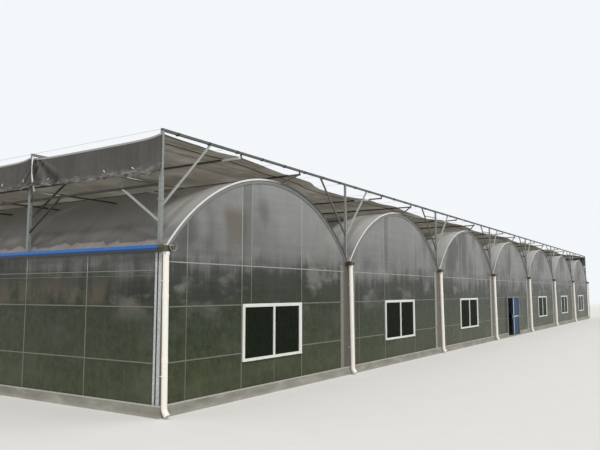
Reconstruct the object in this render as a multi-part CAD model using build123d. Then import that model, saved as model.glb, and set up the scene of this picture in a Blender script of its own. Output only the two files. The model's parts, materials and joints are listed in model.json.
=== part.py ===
from build123d import *
import math
import os

os.makedirs("parts", exist_ok=True)

# Multi-span polycarbonate greenhouse with an outside shade frame, modelled at 1:2.
# Millimetres. X runs along the door facade, Y runs into the building, Z is up.
# The origin is on the ground at the centre of the footprint, the door facade faces -Y.

# Layout
SPAN_COUNT = 7
BAY_COUNT = 4
DOOR_SPAN = 3              # spans are counted from 0 at the -X end
SPAN = 3500.0              # 7.0 m between gutter lines on the real building
BAY = 2000.0               # 4.0 m between column rows

# Kerb and threshold, cast concrete
KERB_HEIGHT = 105.0
KERB_WIDTH = 100.0
KERB_PROUD = 30.0          # kerb face outside the sheets
THRESHOLD_HEIGHT = 25.0

# Wall sheets
SHEET = 5.0
SHEET_JOINT = 1.0

# Steel frame
COLUMN = 50.0
BASE_PLATE = 110.0
BASE_PLATE_THICK = 6.0
GIRT = 25.0                # square tube of rails and mullions
GIRT_LOW = 465.0
GIRT_MID = 965.0
GIRT_HIGH = 1375.0
SIDE_GIRT_HIGH = 1295.0
WALL_TOP_GAP = 3.0         # sheets stop this far under the gutters

# Gutters, a folded trapezoid channel on the column heads
GUTTER_BOTTOM = 1460.0
GUTTER_DEPTH = 62.0
GUTTER_BOTTOM_WIDTH = 100.0
GUTTER_TOP_WIDTH = 120.0
GUTTER_WALL = 3.0
GUTTER_OVERHANG = 80.0

# Roof arches
ARCH_RISE = 845.0          # lower edge of a roof sheet to its crown
ARCH_LAP = 20.0            # lower edge of a roof sheet inside the rim of the gutter
ARCH_RIM_GAP = 15.0        # tangent at that edge over the rim of the gutter
PURLIN = 20.0
TRUSS_DEPTH = 30.0
TRUSS_WIDTH = 20.0
TRUSS_FLAT_COUNT = 7
CHORD_DROP = 30.0          # chord under the gutters
CHORD_DEPTH = 30.0
HANGER = 14.0
GABLE_ARCH_DEPTH = 30.0
GABLE_ARCH_PROUD = 8.0
GABLE_ARCH_BACK = 22.0
GABLE_FLAT_COUNT = 16
ROOF_OVERHANG = 12.0

# Windows
WINDOW_SILL = 375.0
WINDOW_HEAD = 975.0
WINDOW_BAR = 28.0
WINDOW_PROUD = 12.0
WINDOW_DEPTH = 40.0
GLASS = 4.0

# Sliding door of two leaves
DOOR_HEAD = 985.0
DOOR_BAR = 30.0
DOOR_FRAME_PROUD = 26.0
DOOR_FRAME_DEPTH = 62.0
LEAF_WIDTH = 548.0
LEAF_THICK = 16.0
LEAF_BAR = 45.0
LEAF_PANEL = 6.0
LEAF_CLEAR = 5.0
LEAF_LAP = 45.0            # the open leaf shows this much beside the other
TRACK_FRONT = 18.0         # front face of the outer leaf before the sheets
TRACK_PITCH = 24.0
RUNNER_LENGTH = 40.0
RUNNER_THICK = 8.0

# Clearance between pieces that only rest on each other
FIT = 0.3

# Downpipes
PIPE_RADIUS = 27.5
PIPE_SIDES = 12
PIPE_OUT = 50.0
PIPE_LEAN = 25.0
PIPE_SHOE = 60.0
PIPE_TURN = 40.0           # degrees
PIPE_KNEE = 70.0
SHOE_BORE = 23.0
SHOE_BORE_DEPTH = 40.0

# Blue eave strips and corner angles
STRIP_HEIGHT = 28.0
STRIP_THICK = 3.0
CORNER_LEG = 45.0
CORNER_THICK = 3.0

# Shade frame above the roof
POST_LOWER = 34.0
POST_UPPER = 26.0
SHADE_CLEAR = 245.0        # crown of the roof to the top of the beams
POST_UPPER_LENGTH = 450.0
BEAM = 25.0
BRACE = 18.0
BRACE_REACH = 675.0
BRACE_DROP = 715.0         # foot of a brace under its head
KNEE_REACH = 520.0
KNEE_DROP = 353.0          # foot of a knee brace under the lower tube
LOWER_TUBE = 20.0
LOWER_TUBE_DROP = 272.0    # middle of the lower tube under the crown of the roof
SIDE_TIE = 16.0
UPPER_TUBE = 20.0
HANGER_DROP = 25.0         # upper tubes under the beams
PROP = 16.0
PROP_FOOT = 130.0          # foot of a prop from the crown of the arch

# Shade cloth
NET_THICK = 5.0
NET_SETBACK = 60.0         # cloth edge from a row of posts
VALANCE_DROP = 385.0       # hem under the upper tubes
VALANCE_THICK = 5.0

# Sizes that follow from the ones above
FACADE = SPAN_COUNT * SPAN
DEPTH = BAY_COUNT * BAY
X_LEFT = -FACADE / 2
X_RIGHT = FACADE / 2
Y_FRONT = -DEPTH / 2
Y_BACK = DEPTH / 2
GUTTER_TOP = GUTTER_BOTTOM + GUTTER_DEPTH
WALL_TOP = GUTTER_BOTTOM - WALL_TOP_GAP
ARCH_HALF = SPAN / 2 - GUTTER_TOP_WIDTH / 2 + ARCH_LAP
ARCH_DIP = ARCH_LAP * math.tan(2 * math.atan(ARCH_RISE / ARCH_HALF)) - ARCH_RIM_GAP
ARCH_APEX = GUTTER_TOP - ARCH_DIP + ARCH_RISE
ARCH_RADIUS = (ARCH_HALF**2 + ARCH_RISE**2) / (2 * ARCH_RISE)
ARCH_CENTRE = ARCH_APEX - ARCH_RADIUS
SHEET_INNER_RADIUS = ARCH_RADIUS - SHEET
CHORD_TOP = GUTTER_BOTTOM - CHORD_DROP
MULLION_X = SPAN / 6
BEAM_TOP = ARCH_APEX + SHADE_CLEAR
POST_STEP = BEAM_TOP - POST_UPPER_LENGTH
LOWER_TUBE_Z = ARCH_APEX - LOWER_TUBE_DROP
UPPER_TUBE_TOP = BEAM_TOP - BEAM - HANGER_DROP
FRAME_INSET = SHEET + COLUMN / 2
GUTTER_LINES = [X_LEFT + k * SPAN for k in range(SPAN_COUNT + 1)]
SPAN_CENTRES = [X_LEFT + (k + 0.5) * SPAN for k in range(SPAN_COUNT)]
DOOR_CENTRE = SPAN_CENTRES[DOOR_SPAN]
WINDOW_SPANS = [k for k in range(SPAN_COUNT) if k != DOOR_SPAN]
INNER_ROWS = [Y_FRONT + j * BAY for j in range(1, BAY_COUNT)]
ROWS = [Y_FRONT + FRAME_INSET] + INNER_ROWS + [Y_BACK - FRAME_INSET]


def block(x, y, z):
    """Box from its two ends along each axis."""
    size = (x[1] - x[0], y[1] - y[0], z[1] - z[0])
    centre = ((x[0] + x[1]) / 2, (y[0] + y[1]) / 2, (z[0] + z[1]) / 2)
    return Pos(*centre) * Box(*size)


def save(name, shapes):
    """Write the solids of one named piece."""
    solids = []
    for shape in shapes:
        solids.extend(shape.solids())
    export_step(Compound(solids), f"parts/{name}.step")


def across(outline, thick):
    """Thicken an outline drawn in X and Z, evenly to both sides along Y."""
    return extrude(Plane.XZ * outline, amount=thick / 2, both=True)


def rect(x, z):
    """Rectangle in X and Z from its two ends along each axis."""
    size = (x[1] - x[0], z[1] - z[0])
    return Pos((x[0] + x[1]) / 2, (z[0] + z[1]) / 2) * Rectangle(*size)


def polygon(points):
    """Filled outline through the points."""
    return make_face(Polyline(*points, close=True))


def strut(start, end, width):
    """Square bar between two points, with two faces level along its run."""
    run = Vector(*end) - Vector(*start)
    side = Vector(0, 1, 0) if abs(run.Y) < abs(run.X) else Vector(1, 0, 0)
    plane = Plane(origin=start, x_dir=side, z_dir=run)
    return extrude(plane * Rectangle(width, width), amount=run.length)


def mirrored(shapes):
    """The same pieces at the back of the building."""
    return [mirror(shape, about=Plane.XZ) for shape in shapes]


def column_x(line):
    """Column centre on a gutter line, held inside the sheets at the two ends."""
    low = X_LEFT + FRAME_INSET
    high = X_RIGHT - FRAME_INSET
    return min(max(GUTTER_LINES[line], low), high)


# Kerb and threshold
def door_opening():
    """The ends of the doorway along X."""
    half = MULLION_X - GIRT / 2
    return (DOOR_CENTRE - half, DOOR_CENTRE + half)


def kerb_along_x():
    y = (Y_FRONT - KERB_PROUD, Y_FRONT - KERB_PROUD + KERB_WIDTH)
    return y, (X_LEFT - KERB_PROUD, X_RIGHT + KERB_PROUD)


def front_kerb():
    y, x = kerb_along_x()
    door = door_opening()
    left = block((x[0], door[0]), y, (0, KERB_HEIGHT))
    right = block((door[1], x[1]), y, (0, KERB_HEIGHT))
    return [left, right]


def back_kerb():
    y, x = kerb_along_x()
    return mirrored([block(x, y, (0, KERB_HEIGHT))])


def left_kerb():
    inner = KERB_WIDTH - KERB_PROUD
    x = (X_LEFT - KERB_PROUD, X_LEFT + inner)
    y = (Y_FRONT + inner, Y_BACK - inner)
    return [block(x, y, (0, KERB_HEIGHT))]


def threshold():
    y, _ = kerb_along_x()
    return [block(door_opening(), y, (0, THRESHOLD_HEIGHT))]


# Columns
def column(x, y, foot):
    half = COLUMN / 2
    return block((x - half, x + half), (y - half, y + half), (foot, GUTTER_BOTTOM))


def inner_column(x, y):
    half = BASE_PLATE / 2
    plate = block((x - half, x + half), (y - half, y + half), (0, BASE_PLATE_THICK))
    return plate + column(x, y, 0)


def front_columns():
    lines = range(SPAN_COUNT + 1)
    return [column(column_x(k), Y_FRONT + FRAME_INSET, KERB_HEIGHT) for k in lines]


def left_columns():
    return [column(column_x(0), y, KERB_HEIGHT) for y in INNER_ROWS]


def inner_columns():
    return [inner_column(x, y) for x in GUTTER_LINES[1:-1] for y in INNER_ROWS]


# Gutters
def gutter_section():
    low = GUTTER_BOTTOM_WIDTH / 2
    high = GUTTER_TOP_WIDTH / 2
    floor = GUTTER_BOTTOM + GUTTER_WALL
    outer = [(-low, GUTTER_BOTTOM), (low, GUTTER_BOTTOM), (high, GUTTER_TOP)]
    inner = [(high - GUTTER_WALL, GUTTER_TOP), (low - GUTTER_WALL, floor)]
    left = [(-x, z) for x, z in reversed(inner)]
    return polygon(outer + inner + left + [(-high, GUTTER_TOP)])


def gutters():
    channel = across(gutter_section(), DEPTH + 2 * GUTTER_OVERHANG)
    return [Pos(x, 0, 0) * channel for x in GUTTER_LINES]


# Roof
def arc_band(outer, depth, half_width):
    """Outline between two arcs about the arch centre, cut off at each side."""
    ring = Pos(0, ARCH_CENTRE) * (Circle(outer) - Circle(outer - depth))
    top = ARCH_CENTRE + outer
    return ring & rect((-half_width, half_width), (ARCH_CENTRE, top + SHEET))


def roof_sheet():
    section = arc_band(ARCH_RADIUS, SHEET, ARCH_HALF)
    return across(section, DEPTH + 2 * ROOF_OVERHANG)


def arch_points(radius, flats, half_angle):
    """Corners of an arch made of equal flats, from the -X foot to the +X foot."""
    step = 2 * half_angle / flats
    angles = [-half_angle + i * step for i in range(flats + 1)]
    return [(radius * math.sin(a), ARCH_CENTRE + radius * math.cos(a)) for a in angles]


def truss_half_angle():
    """Angle at which the middle of the rib comes down to the rim of the gutter."""
    middle = SHEET_INNER_RADIUS - PURLIN - TRUSS_DEPTH / 2
    return math.acos((GUTTER_TOP - ARCH_CENTRE) / middle)


def rib_corner_radius():
    """Outer corners of the rib, so that a purlin fits between flat and sheet."""
    flat = truss_half_angle() / TRUSS_FLAT_COUNT
    return (SHEET_INNER_RADIUS - FIT - PURLIN) / math.cos(flat)


def truss(left_end, right_end):
    """Rib of flats on a level chord between two column faces, with a middle post."""
    half = truss_half_angle()
    outer = arch_points(rib_corner_radius(), TRUSS_FLAT_COUNT, half)
    inner = arch_points(rib_corner_radius() - TRUSS_DEPTH, TRUSS_FLAT_COUNT, half)
    chord_bottom = CHORD_TOP - CHORD_DEPTH
    feet_right = [(outer[-1][0], chord_bottom), (inner[-1][0], chord_bottom)]
    feet_left = [(inner[0][0], chord_bottom), (outer[0][0], chord_bottom)]
    outline = polygon(outer + feet_right + list(reversed(inner)) + feet_left)
    outline += rect((left_end, right_end), (chord_bottom, CHORD_TOP))
    in_rib = ARCH_CENTRE + rib_corner_radius() - TRUSS_DEPTH
    outline += rect((-HANGER / 2, HANGER / 2), (CHORD_TOP, in_rib))
    return across(outline, TRUSS_WIDTH)


def bay_ends(span):
    """The column faces either side of a span, from its centre."""
    centre = SPAN_CENTRES[span]
    left = column_x(span) + COLUMN / 2 - centre
    return left, column_x(span + 1) - COLUMN / 2 - centre


def trusses():
    frames = []
    for k, centre in enumerate(SPAN_CENTRES):
        frame = truss(*bay_ends(k))
        frames.extend(Pos(centre, y, 0) * frame for y in INNER_ROWS)
    return frames


def purlins():
    """Straight tubes on the middle of each flat of the ribs, tilted with it."""
    length = DEPTH - 2 * GABLE_ARCH_BACK
    radius = SHEET_INNER_RADIUS - FIT - PURLIN / 2
    half = truss_half_angle()
    step = 2 * half / TRUSS_FLAT_COUNT
    bars = []
    for i in range(TRUSS_FLAT_COUNT):
        angle = -half + (i + 0.5) * step
        x = radius * math.sin(angle)
        z = ARCH_CENTRE + radius * math.cos(angle)
        bar = Box(PURLIN, length, PURLIN)
        bars.append(Pos(x, 0, z) * Rot(0, math.degrees(angle), 0) * bar)
    return [Pos(x, 0, 0) * bar for x in SPAN_CENTRES for bar in bars]


# Gable walls
def gable_half_angle():
    """Angle at which the gable arch reaches the edge of the roof sheet."""
    return math.asin(ARCH_HALF / SHEET_INNER_RADIUS)


def gable_flats(radius):
    """Corners of the gable arch at a radius, the same for bar and sheet."""
    return arch_points(radius, GABLE_FLAT_COUNT, gable_half_angle())


def gable_limit():
    """Half width between the flanks of two gutters."""
    return SPAN / 2 - GUTTER_TOP_WIDTH / 2 - FIT


def gable_arch():
    """Bar bent in flats round the gable, its feet cut to the flank of the gutters."""
    radius = SHEET_INNER_RADIUS - FIT
    inner = gable_flats(radius - GABLE_ARCH_DEPTH)
    outline = polygon(gable_flats(radius) + list(reversed(inner)))
    outline &= rect((-gable_limit(), gable_limit()), (GUTTER_BOTTOM, ARCH_APEX))
    bar = across(outline, GABLE_ARCH_PROUD + GABLE_ARCH_BACK)
    return Pos(0, Y_FRONT + (GABLE_ARCH_BACK - GABLE_ARCH_PROUD) / 2, 0) * bar


def front_gable_arches():
    arch = gable_arch()
    return [Pos(x, 0, 0) * arch for x in SPAN_CENTRES]


def under_arch():
    """Outline below the gable arch, clear of its inner flats."""
    corners = gable_flats(SHEET_INNER_RADIUS - GABLE_ARCH_DEPTH - 2 * FIT)
    foot = [(corners[-1][0], GIRT_HIGH), (corners[0][0], GIRT_HIGH)]
    return polygon(corners + foot)


def gable_outline():
    """Sheet of one gable: a wall up to the gutters and the arch above it."""
    side = SPAN / 2 - SHEET_JOINT / 2
    upper = under_arch() & rect((-gable_limit(), gable_limit()), (GIRT_HIGH, ARCH_APEX))
    return rect((-side, side), (KERB_HEIGHT, WALL_TOP)) + upper


def window_hole():
    half = MULLION_X - GIRT / 2
    return rect((-half, half), (WINDOW_SILL, WINDOW_HEAD))


def gable_sheet(outline):
    return Pos(0, Y_FRONT + SHEET / 2, 0) * across(outline, SHEET)


def door_gable_sheets():
    """Two sheets beside the doorway and one over it."""
    whole = gable_outline()
    edge = MULLION_X - SHEET_JOINT / 2
    clear = MULLION_X + SHEET_JOINT / 2
    reach = SPAN / 2
    left = whole & rect((-reach, -clear), (0, ARCH_APEX))
    right = whole & rect((clear, reach), (0, ARCH_APEX))
    over = whole & rect((-edge, edge), (DOOR_HEAD, ARCH_APEX))
    return [gable_sheet(part) for part in (left, right, over)]


def front_sheets():
    windowed = gable_sheet(gable_outline() - window_hole())
    sheets = [Pos(SPAN_CENTRES[k], 0, 0) * windowed for k in WINDOW_SPANS]
    return sheets + [Pos(DOOR_CENTRE, 0, 0) * part for part in door_gable_sheets()]


def back_sheets():
    windowed = gable_sheet(gable_outline() - window_hole())
    return mirrored([Pos(x, 0, 0) * windowed for x in SPAN_CENTRES])


def girt_band(z):
    return (z - GIRT / 2, z + GIRT / 2)


def gable_frame(left_end, right_end, with_door):
    """Rails and mullions of one gable in X and Z, between two column faces."""
    mullion = (MULLION_X - GIRT / 2, MULLION_X + GIRT / 2)
    left = rect((-mullion[1], -mullion[0]), (KERB_HEIGHT, GIRT_HIGH))
    left += under_arch() & rect((-mullion[1], -mullion[0]), (GIRT_HIGH, ARCH_APEX))
    right = rect(mullion, (KERB_HEIGHT, GIRT_HIGH))
    right += under_arch() & rect(mullion, (GIRT_HIGH, ARCH_APEX))
    low_rails = [(KERB_HEIGHT, KERB_HEIGHT + GIRT), girt_band(GIRT_LOW), girt_band(GIRT_MID)]
    for z in low_rails:
        left += rect((left_end, -mullion[0]), z)
        right += rect((mullion[0], right_end), z)
    middle = rect((-mullion[0], mullion[0]), girt_band(GIRT_HIGH))
    if with_door:
        middle += rect((-mullion[0], mullion[0]), (DOOR_HEAD, DOOR_HEAD + GIRT))
    else:
        middle += rect((-mullion[0], mullion[0]), (WINDOW_SILL - GIRT, WINDOW_SILL))
        middle += rect((-mullion[0], mullion[0]), (WINDOW_HEAD, WINDOW_HEAD + GIRT))
        middle += rect((-mullion[0], mullion[0]), low_rails[0])
    left += rect((left_end, -mullion[0]), girt_band(GIRT_HIGH))
    right += rect((mullion[0], right_end), girt_band(GIRT_HIGH))
    if with_door:
        return [left, right, middle]
    return [left + middle + right]


def gable_frames(door_span):
    frames = []
    for k, centre in enumerate(SPAN_CENTRES):
        for outline in gable_frame(*bay_ends(k), k == door_span):
            bars = across(outline, GIRT)
            frames.append(Pos(centre, Y_FRONT + SHEET + GIRT / 2, 0) * bars)
    return frames


# Side walls
def left_sheets():
    """One sheet for each bay, behind the gable sheets at the corners."""
    joint = SHEET_JOINT / 2
    edges = [Y_FRONT + j * BAY for j in range(BAY_COUNT + 1)]
    edges[0] = Y_FRONT + SHEET
    edges[-1] = Y_BACK - SHEET
    x = (X_LEFT, X_LEFT + SHEET)
    pairs = zip(edges[:-1], edges[1:])
    return [block(x, (a + joint, b - joint), (KERB_HEIGHT, WALL_TOP)) for a, b in pairs]


def left_side_frame():
    """Rails and a middle bar in each bay, between the column faces."""
    x = (X_LEFT + SHEET, X_LEFT + SHEET + GIRT)
    frames = []
    rails = [(KERB_HEIGHT, KERB_HEIGHT + GIRT)]
    rails += [girt_band(z) for z in (GIRT_LOW, GIRT_MID, SIDE_GIRT_HIGH)]
    rails.append((GUTTER_BOTTOM - GIRT, GUTTER_BOTTOM))
    for near, far in zip(ROWS[:-1], ROWS[1:]):
        y = (near + COLUMN / 2, far - COLUMN / 2)
        middle = (near + far) / 2
        grid = block(x, (middle - GIRT / 2, middle + GIRT / 2), (KERB_HEIGHT, GUTTER_BOTTOM))
        for z in rails:
            grid += block(x, y, z)
        frames.append(grid)
    return frames


def corner_angle():
    """Angle round the -X front corner, outside the sheets."""
    leg = CORNER_LEG - CORNER_THICK
    low = (X_LEFT - CORNER_THICK, Y_FRONT - CORNER_THICK)
    z = (KERB_HEIGHT, WALL_TOP)
    front = block((low[0], X_LEFT + leg), (low[1], Y_FRONT), z)
    side = block((low[0], X_LEFT), (low[1], Y_FRONT + leg), z)
    return front + side


def corner_angles():
    left = corner_angle()
    right = mirror(left, about=Plane.YZ)
    return [left, right] + mirrored([left, right])


def left_eave_strip():
    """Flat strip hung on the outer lip of the gutter."""
    face = X_LEFT - GUTTER_TOP_WIDTH / 2
    x = (face - STRIP_THICK, face)
    reach = DEPTH / 2 + GUTTER_OVERHANG
    return [block(x, (-reach, reach), (GUTTER_TOP - STRIP_HEIGHT, GUTTER_TOP))]


# Windows
def window_frame():
    """Outer frame with the meeting stile of its two sashes."""
    half = MULLION_X - GIRT / 2 - FIT
    z = (WINDOW_SILL + FIT, WINDOW_HEAD - FIT)
    inner = (z[0] + WINDOW_BAR, z[1] - WINDOW_BAR)
    outline = rect((-half, half), z)
    for side in (-1, 1):
        pane = sorted((side * WINDOW_BAR / 2, side * (half - WINDOW_BAR)))
        outline -= rect(pane, inner)
    frame = across(outline, WINDOW_DEPTH)
    return Pos(0, Y_FRONT - WINDOW_PROUD + WINDOW_DEPTH / 2, 0) * frame


def window_panes():
    half = MULLION_X - GIRT / 2 - FIT - WINDOW_BAR
    z = (WINDOW_SILL + FIT + WINDOW_BAR, WINDOW_HEAD - FIT - WINDOW_BAR)
    y = (Y_FRONT, Y_FRONT + GLASS)
    return [block((-half, -WINDOW_BAR / 2), y, z), block((WINDOW_BAR / 2, half), y, z)]


def in_windows(shapes, spans):
    return [Pos(SPAN_CENTRES[k], 0, 0) * shape for k in spans for shape in shapes]


# Door
def door_jamb():
    """Jamb on the +X side: a flange before the mullion and a lining inside it."""
    inner = MULLION_X - GIRT / 2 - DOOR_BAR
    top = DOOR_HEAD - DOOR_BAR
    front = Y_FRONT - DOOR_FRAME_PROUD
    flange_x = (inner, MULLION_X - SHEET_JOINT / 2 - FIT)
    flange = block(flange_x, (front, Y_FRONT + SHEET), (KERB_HEIGHT, top))
    lining_x = (inner, MULLION_X - GIRT / 2 - FIT)
    lining_y = (front, front + DOOR_FRAME_DEPTH)
    return flange + block(lining_x, lining_y, (THRESHOLD_HEIGHT, top))


def door_frame():
    """Two jambs and a head round the doorway."""
    right = door_jamb()
    left = mirror(right, about=Plane.YZ)
    reach = MULLION_X - GIRT / 2 - FIT
    y = (Y_FRONT - DOOR_FRAME_PROUD, Y_FRONT - DOOR_FRAME_PROUD + DOOR_FRAME_DEPTH)
    head = block((-reach, reach), y, (DOOR_HEAD - DOOR_BAR, DOOR_HEAD - FIT))
    return [Pos(DOOR_CENTRE, 0, 0) * piece for piece in (left, right, head)]


def leaf_height():
    return (THRESHOLD_HEIGHT + LEAF_CLEAR, DOOR_HEAD - DOOR_BAR - LEAF_CLEAR)


def door_leaf(right_edge, front):
    """Leaf with stiles, three rails, two thin panels and its runners."""
    z = leaf_height()
    x = (right_edge - LEAF_WIDTH, right_edge)
    inner_x = (x[0] + LEAF_BAR, x[1] - LEAF_BAR)
    middle = (z[0] + z[1]) / 2
    outline = rect(x, z)
    outline -= rect(inner_x, (z[0] + LEAF_BAR, middle - LEAF_BAR / 2))
    outline -= rect(inner_x, (middle + LEAF_BAR / 2, z[1] - LEAF_BAR))
    leaf = Pos(0, front + LEAF_THICK / 2, 0) * across(outline, LEAF_THICK)
    centre = front + LEAF_THICK / 2
    panel_y = (centre - LEAF_PANEL / 2, centre + LEAF_PANEL / 2)
    leaf += block(inner_x, panel_y, (z[0] + LEAF_BAR, z[1] - LEAF_BAR))
    runner_y = (centre - RUNNER_THICK / 2, centre + RUNNER_THICK / 2)
    for edge in (x[0] + LEAF_BAR, x[1] - LEAF_BAR - RUNNER_LENGTH):
        runner_x = (edge, edge + RUNNER_LENGTH)
        leaf += block(runner_x, runner_y, (THRESHOLD_HEIGHT + FIT, z[0]))
    return leaf


def right_leaf():
    edge = door_opening()[1] - DOOR_BAR - LEAF_CLEAR
    return [door_leaf(edge, Y_FRONT - TRACK_FRONT)]


def left_leaf():
    edge = door_opening()[1] - DOOR_BAR - LEAF_CLEAR - LEAF_LAP
    return [door_leaf(edge, Y_FRONT - TRACK_FRONT + TRACK_PITCH)]


# Downpipes
def downpipe():
    """Pipe that leans out to its foot, with a bored shoe turned from the wall."""
    top = Vector(0, Y_FRONT - PIPE_OUT, GUTTER_BOTTOM)
    knee = Vector(0, Y_FRONT - PIPE_OUT - PIPE_LEAN, PIPE_KNEE)
    turn = math.radians(PIPE_TURN)
    end = knee + Vector(0, -math.sin(turn), -math.cos(turn)) * PIPE_SHOE
    path = Polyline(top, knee, end)
    section = Plane(origin=top, z_dir=knee - top) * RegularPolygon(PIPE_RADIUS, PIPE_SIDES)
    pipe = sweep(section, path=path, transition=Transition.RIGHT)
    mouth = Plane(origin=end, z_dir=knee - end)
    pipe -= extrude(mouth * RegularPolygon(SHOE_BORE, PIPE_SIDES), amount=SHOE_BORE_DEPTH)
    reach = 2 * PIPE_RADIUS
    over = block((-reach, reach), (top.Y - reach, top.Y + reach), (GUTTER_BOTTOM, GUTTER_TOP))
    return pipe - over


def downpipes():
    pipe = downpipe()
    return [Pos(x, 0, 0) * pipe for x in GUTTER_LINES]


# Shade frame
def shade_post(x, y):
    """Post that stands on the floor of the gutter, with a thinner upper length."""
    low = POST_LOWER / 2
    high = POST_UPPER / 2
    foot = GUTTER_BOTTOM + GUTTER_WALL
    lower = block((x - low, x + low), (y - low, y + low), (foot, POST_STEP))
    upper = block((x - high, x + high), (y - high, y + high), (POST_STEP, BEAM_TOP - BEAM))
    return lower + upper


def shade_posts():
    return [shade_post(x, y) for x in GUTTER_LINES for y in ROWS]


def shade_beams():
    """One beam along X on the posts of each row."""
    reach = POST_UPPER / 2
    x = (X_LEFT - reach, X_RIGHT + reach)
    half = BEAM / 2
    return [block(x, (y - half, y + half), (BEAM_TOP - BEAM, BEAM_TOP)) for y in ROWS]


def row_braces(y):
    """Sloping braces from the posts of one row up to its beam."""
    side_y = (y - BEAM, y + BEAM)
    beam = block((X_LEFT - SPAN, X_RIGHT + SPAN), side_y, (BEAM_TOP - BEAM, BEAM_TOP))
    braces = []
    for k, x in enumerate(GUTTER_LINES):
        lower = block((x - POST_LOWER / 2, x + POST_LOWER / 2), side_y, (0, POST_STEP))
        for side in (-1, 1):
            if 0 <= k + side <= SPAN_COUNT:
                head = (x + side * BRACE_REACH, y, BEAM_TOP - BEAM / 2)
                bar = strut((x, y, head[2] - BRACE_DROP), head, BRACE)
                braces.append(bar - lower - beam)
    return braces


def inner_braces():
    return [bar for y in INNER_ROWS for bar in row_braces(y)]


def lower_tubes():
    """Tubes along Y between the posts of each gutter line."""
    half = LOWER_TUBE / 2
    z = (LOWER_TUBE_Z - half, LOWER_TUBE_Z + half)
    gap = POST_LOWER / 2
    tubes = []
    for x in GUTTER_LINES:
        for near, far in zip(ROWS[:-1], ROWS[1:]):
            tubes.append(block((x - half, x + half), (near + gap, far - gap), z))
    return tubes


def knee_braces():
    """Short braces in the side walls' planes, from the posts of the end bays to the lower tube."""
    braces = []
    half = POST_LOWER / 2
    under = LOWER_TUBE_Z - LOWER_TUBE / 2
    for x in (GUTTER_LINES[0], GUTTER_LINES[-1]):
        for j, y in enumerate(ROWS):
            for side in (-1, 1):
                if {j, j + side} in ({0, 1}, {BAY_COUNT - 1, BAY_COUNT}):
                    foot = (x, y, LOWER_TUBE_Z - KNEE_DROP)
                    bar = strut(foot, (x, y + side * KNEE_REACH, LOWER_TUBE_Z), BRACE)
                    bar -= block((x - half, x + half), (y - half, y + half), (0, BEAM_TOP))
                    braces.append(bar - block((x - half, x + half), (Y_FRONT, Y_BACK), (under, BEAM_TOP)))
    return braces


def left_ties():
    """Level bars from the side's lower tube to the roof, over the knee braces."""
    bottom = LOWER_TUBE_Z + LOWER_TUBE / 2
    z = (bottom, bottom + SIDE_TIE)
    x = (GUTTER_LINES[0] - LOWER_TUBE / 2, SPAN_CENTRES[0])
    arch = Pos(SPAN_CENTRES[0], 0, ARCH_CENTRE) * Rot(90, 0, 0)
    arch *= Cylinder(ARCH_RADIUS + FIT, DEPTH)
    ties = []
    for j, y in enumerate(ROWS):
        for side in (-1, 1):
            if 0 <= j + side <= BAY_COUNT:
                middle = y + side * KNEE_REACH
                bar = block(x, (middle - SIDE_TIE / 2, middle + SIDE_TIE / 2), z)
                ties.append(bar - arch)
    return ties


def upper_tubes():
    """Two tubes along Y in each span that carry the cloth."""
    half = UPPER_TUBE / 2
    z = (UPPER_TUBE_TOP - UPPER_TUBE, UPPER_TUBE_TOP)
    y = (ROWS[0] - half, ROWS[-1] + half)
    offsets = (-MULLION_X, MULLION_X)
    return [block((x + o - half, x + o + half), y, z) for x in SPAN_CENTRES for o in offsets]


def tube_hangers():
    """Short drops from each beam to the tubes under it."""
    half = HANGER / 2
    z = (UPPER_TUBE_TOP, BEAM_TOP - BEAM)
    drops = []
    for x in SPAN_CENTRES:
        for o in (-MULLION_X, MULLION_X):
            for y in ROWS:
                drops.append(block((x + o - half, x + o + half), (y - half, y + half), z))
    return drops


def end_props():
    """Sloping bars of the two end rows, from the crown of each arch up to the nearer tube."""
    half = UPPER_TUBE / 2
    slope = (UPPER_TUBE_TOP - half - ARCH_APEX) / (MULLION_X - PROP_FOOT)
    foot = (PROP_FOOT - PROP, 0, ARCH_APEX - slope * PROP)
    bar = strut(foot, (MULLION_X, 0, UPPER_TUBE_TOP - half), PROP)
    bar -= Pos(0, 0, ARCH_CENTRE) * Rot(90, 0, 0) * Cylinder(ARCH_RADIUS + FIT, BEAM)
    bar -= block((MULLION_X - half, MULLION_X + half), (-BEAM, BEAM), (0, BEAM_TOP))
    return [Pos(x, y, 0) * bar for x in SPAN_CENTRES for y in (ROWS[0], ROWS[-1])]


# Shade cloth
def shade_net():
    """One length of cloth for each bay, lying on the upper tubes."""
    z = (UPPER_TUBE_TOP + FIT, UPPER_TUBE_TOP + FIT + NET_THICK)
    reach = POST_UPPER / 2
    x = (X_LEFT - reach, X_RIGHT + reach)
    pairs = zip(ROWS[:-1], ROWS[1:])
    return [block(x, (near + NET_SETBACK, far - NET_SETBACK), z) for near, far in pairs]


def left_valance():
    """Cloth that hangs down outside the end posts."""
    face = X_LEFT - POST_UPPER / 2 - FIT
    y = (ROWS[0] - POST_LOWER / 2, ROWS[-1] + POST_LOWER / 2)
    z = (UPPER_TUBE_TOP - VALANCE_DROP, UPPER_TUBE_TOP + NET_THICK)
    return [block((face - VALANCE_THICK, face), y, z)]


def at_right(shapes):
    """The same pieces on the +X side of the building."""
    return [mirror(shape, about=Plane.YZ) for shape in shapes]


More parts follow.
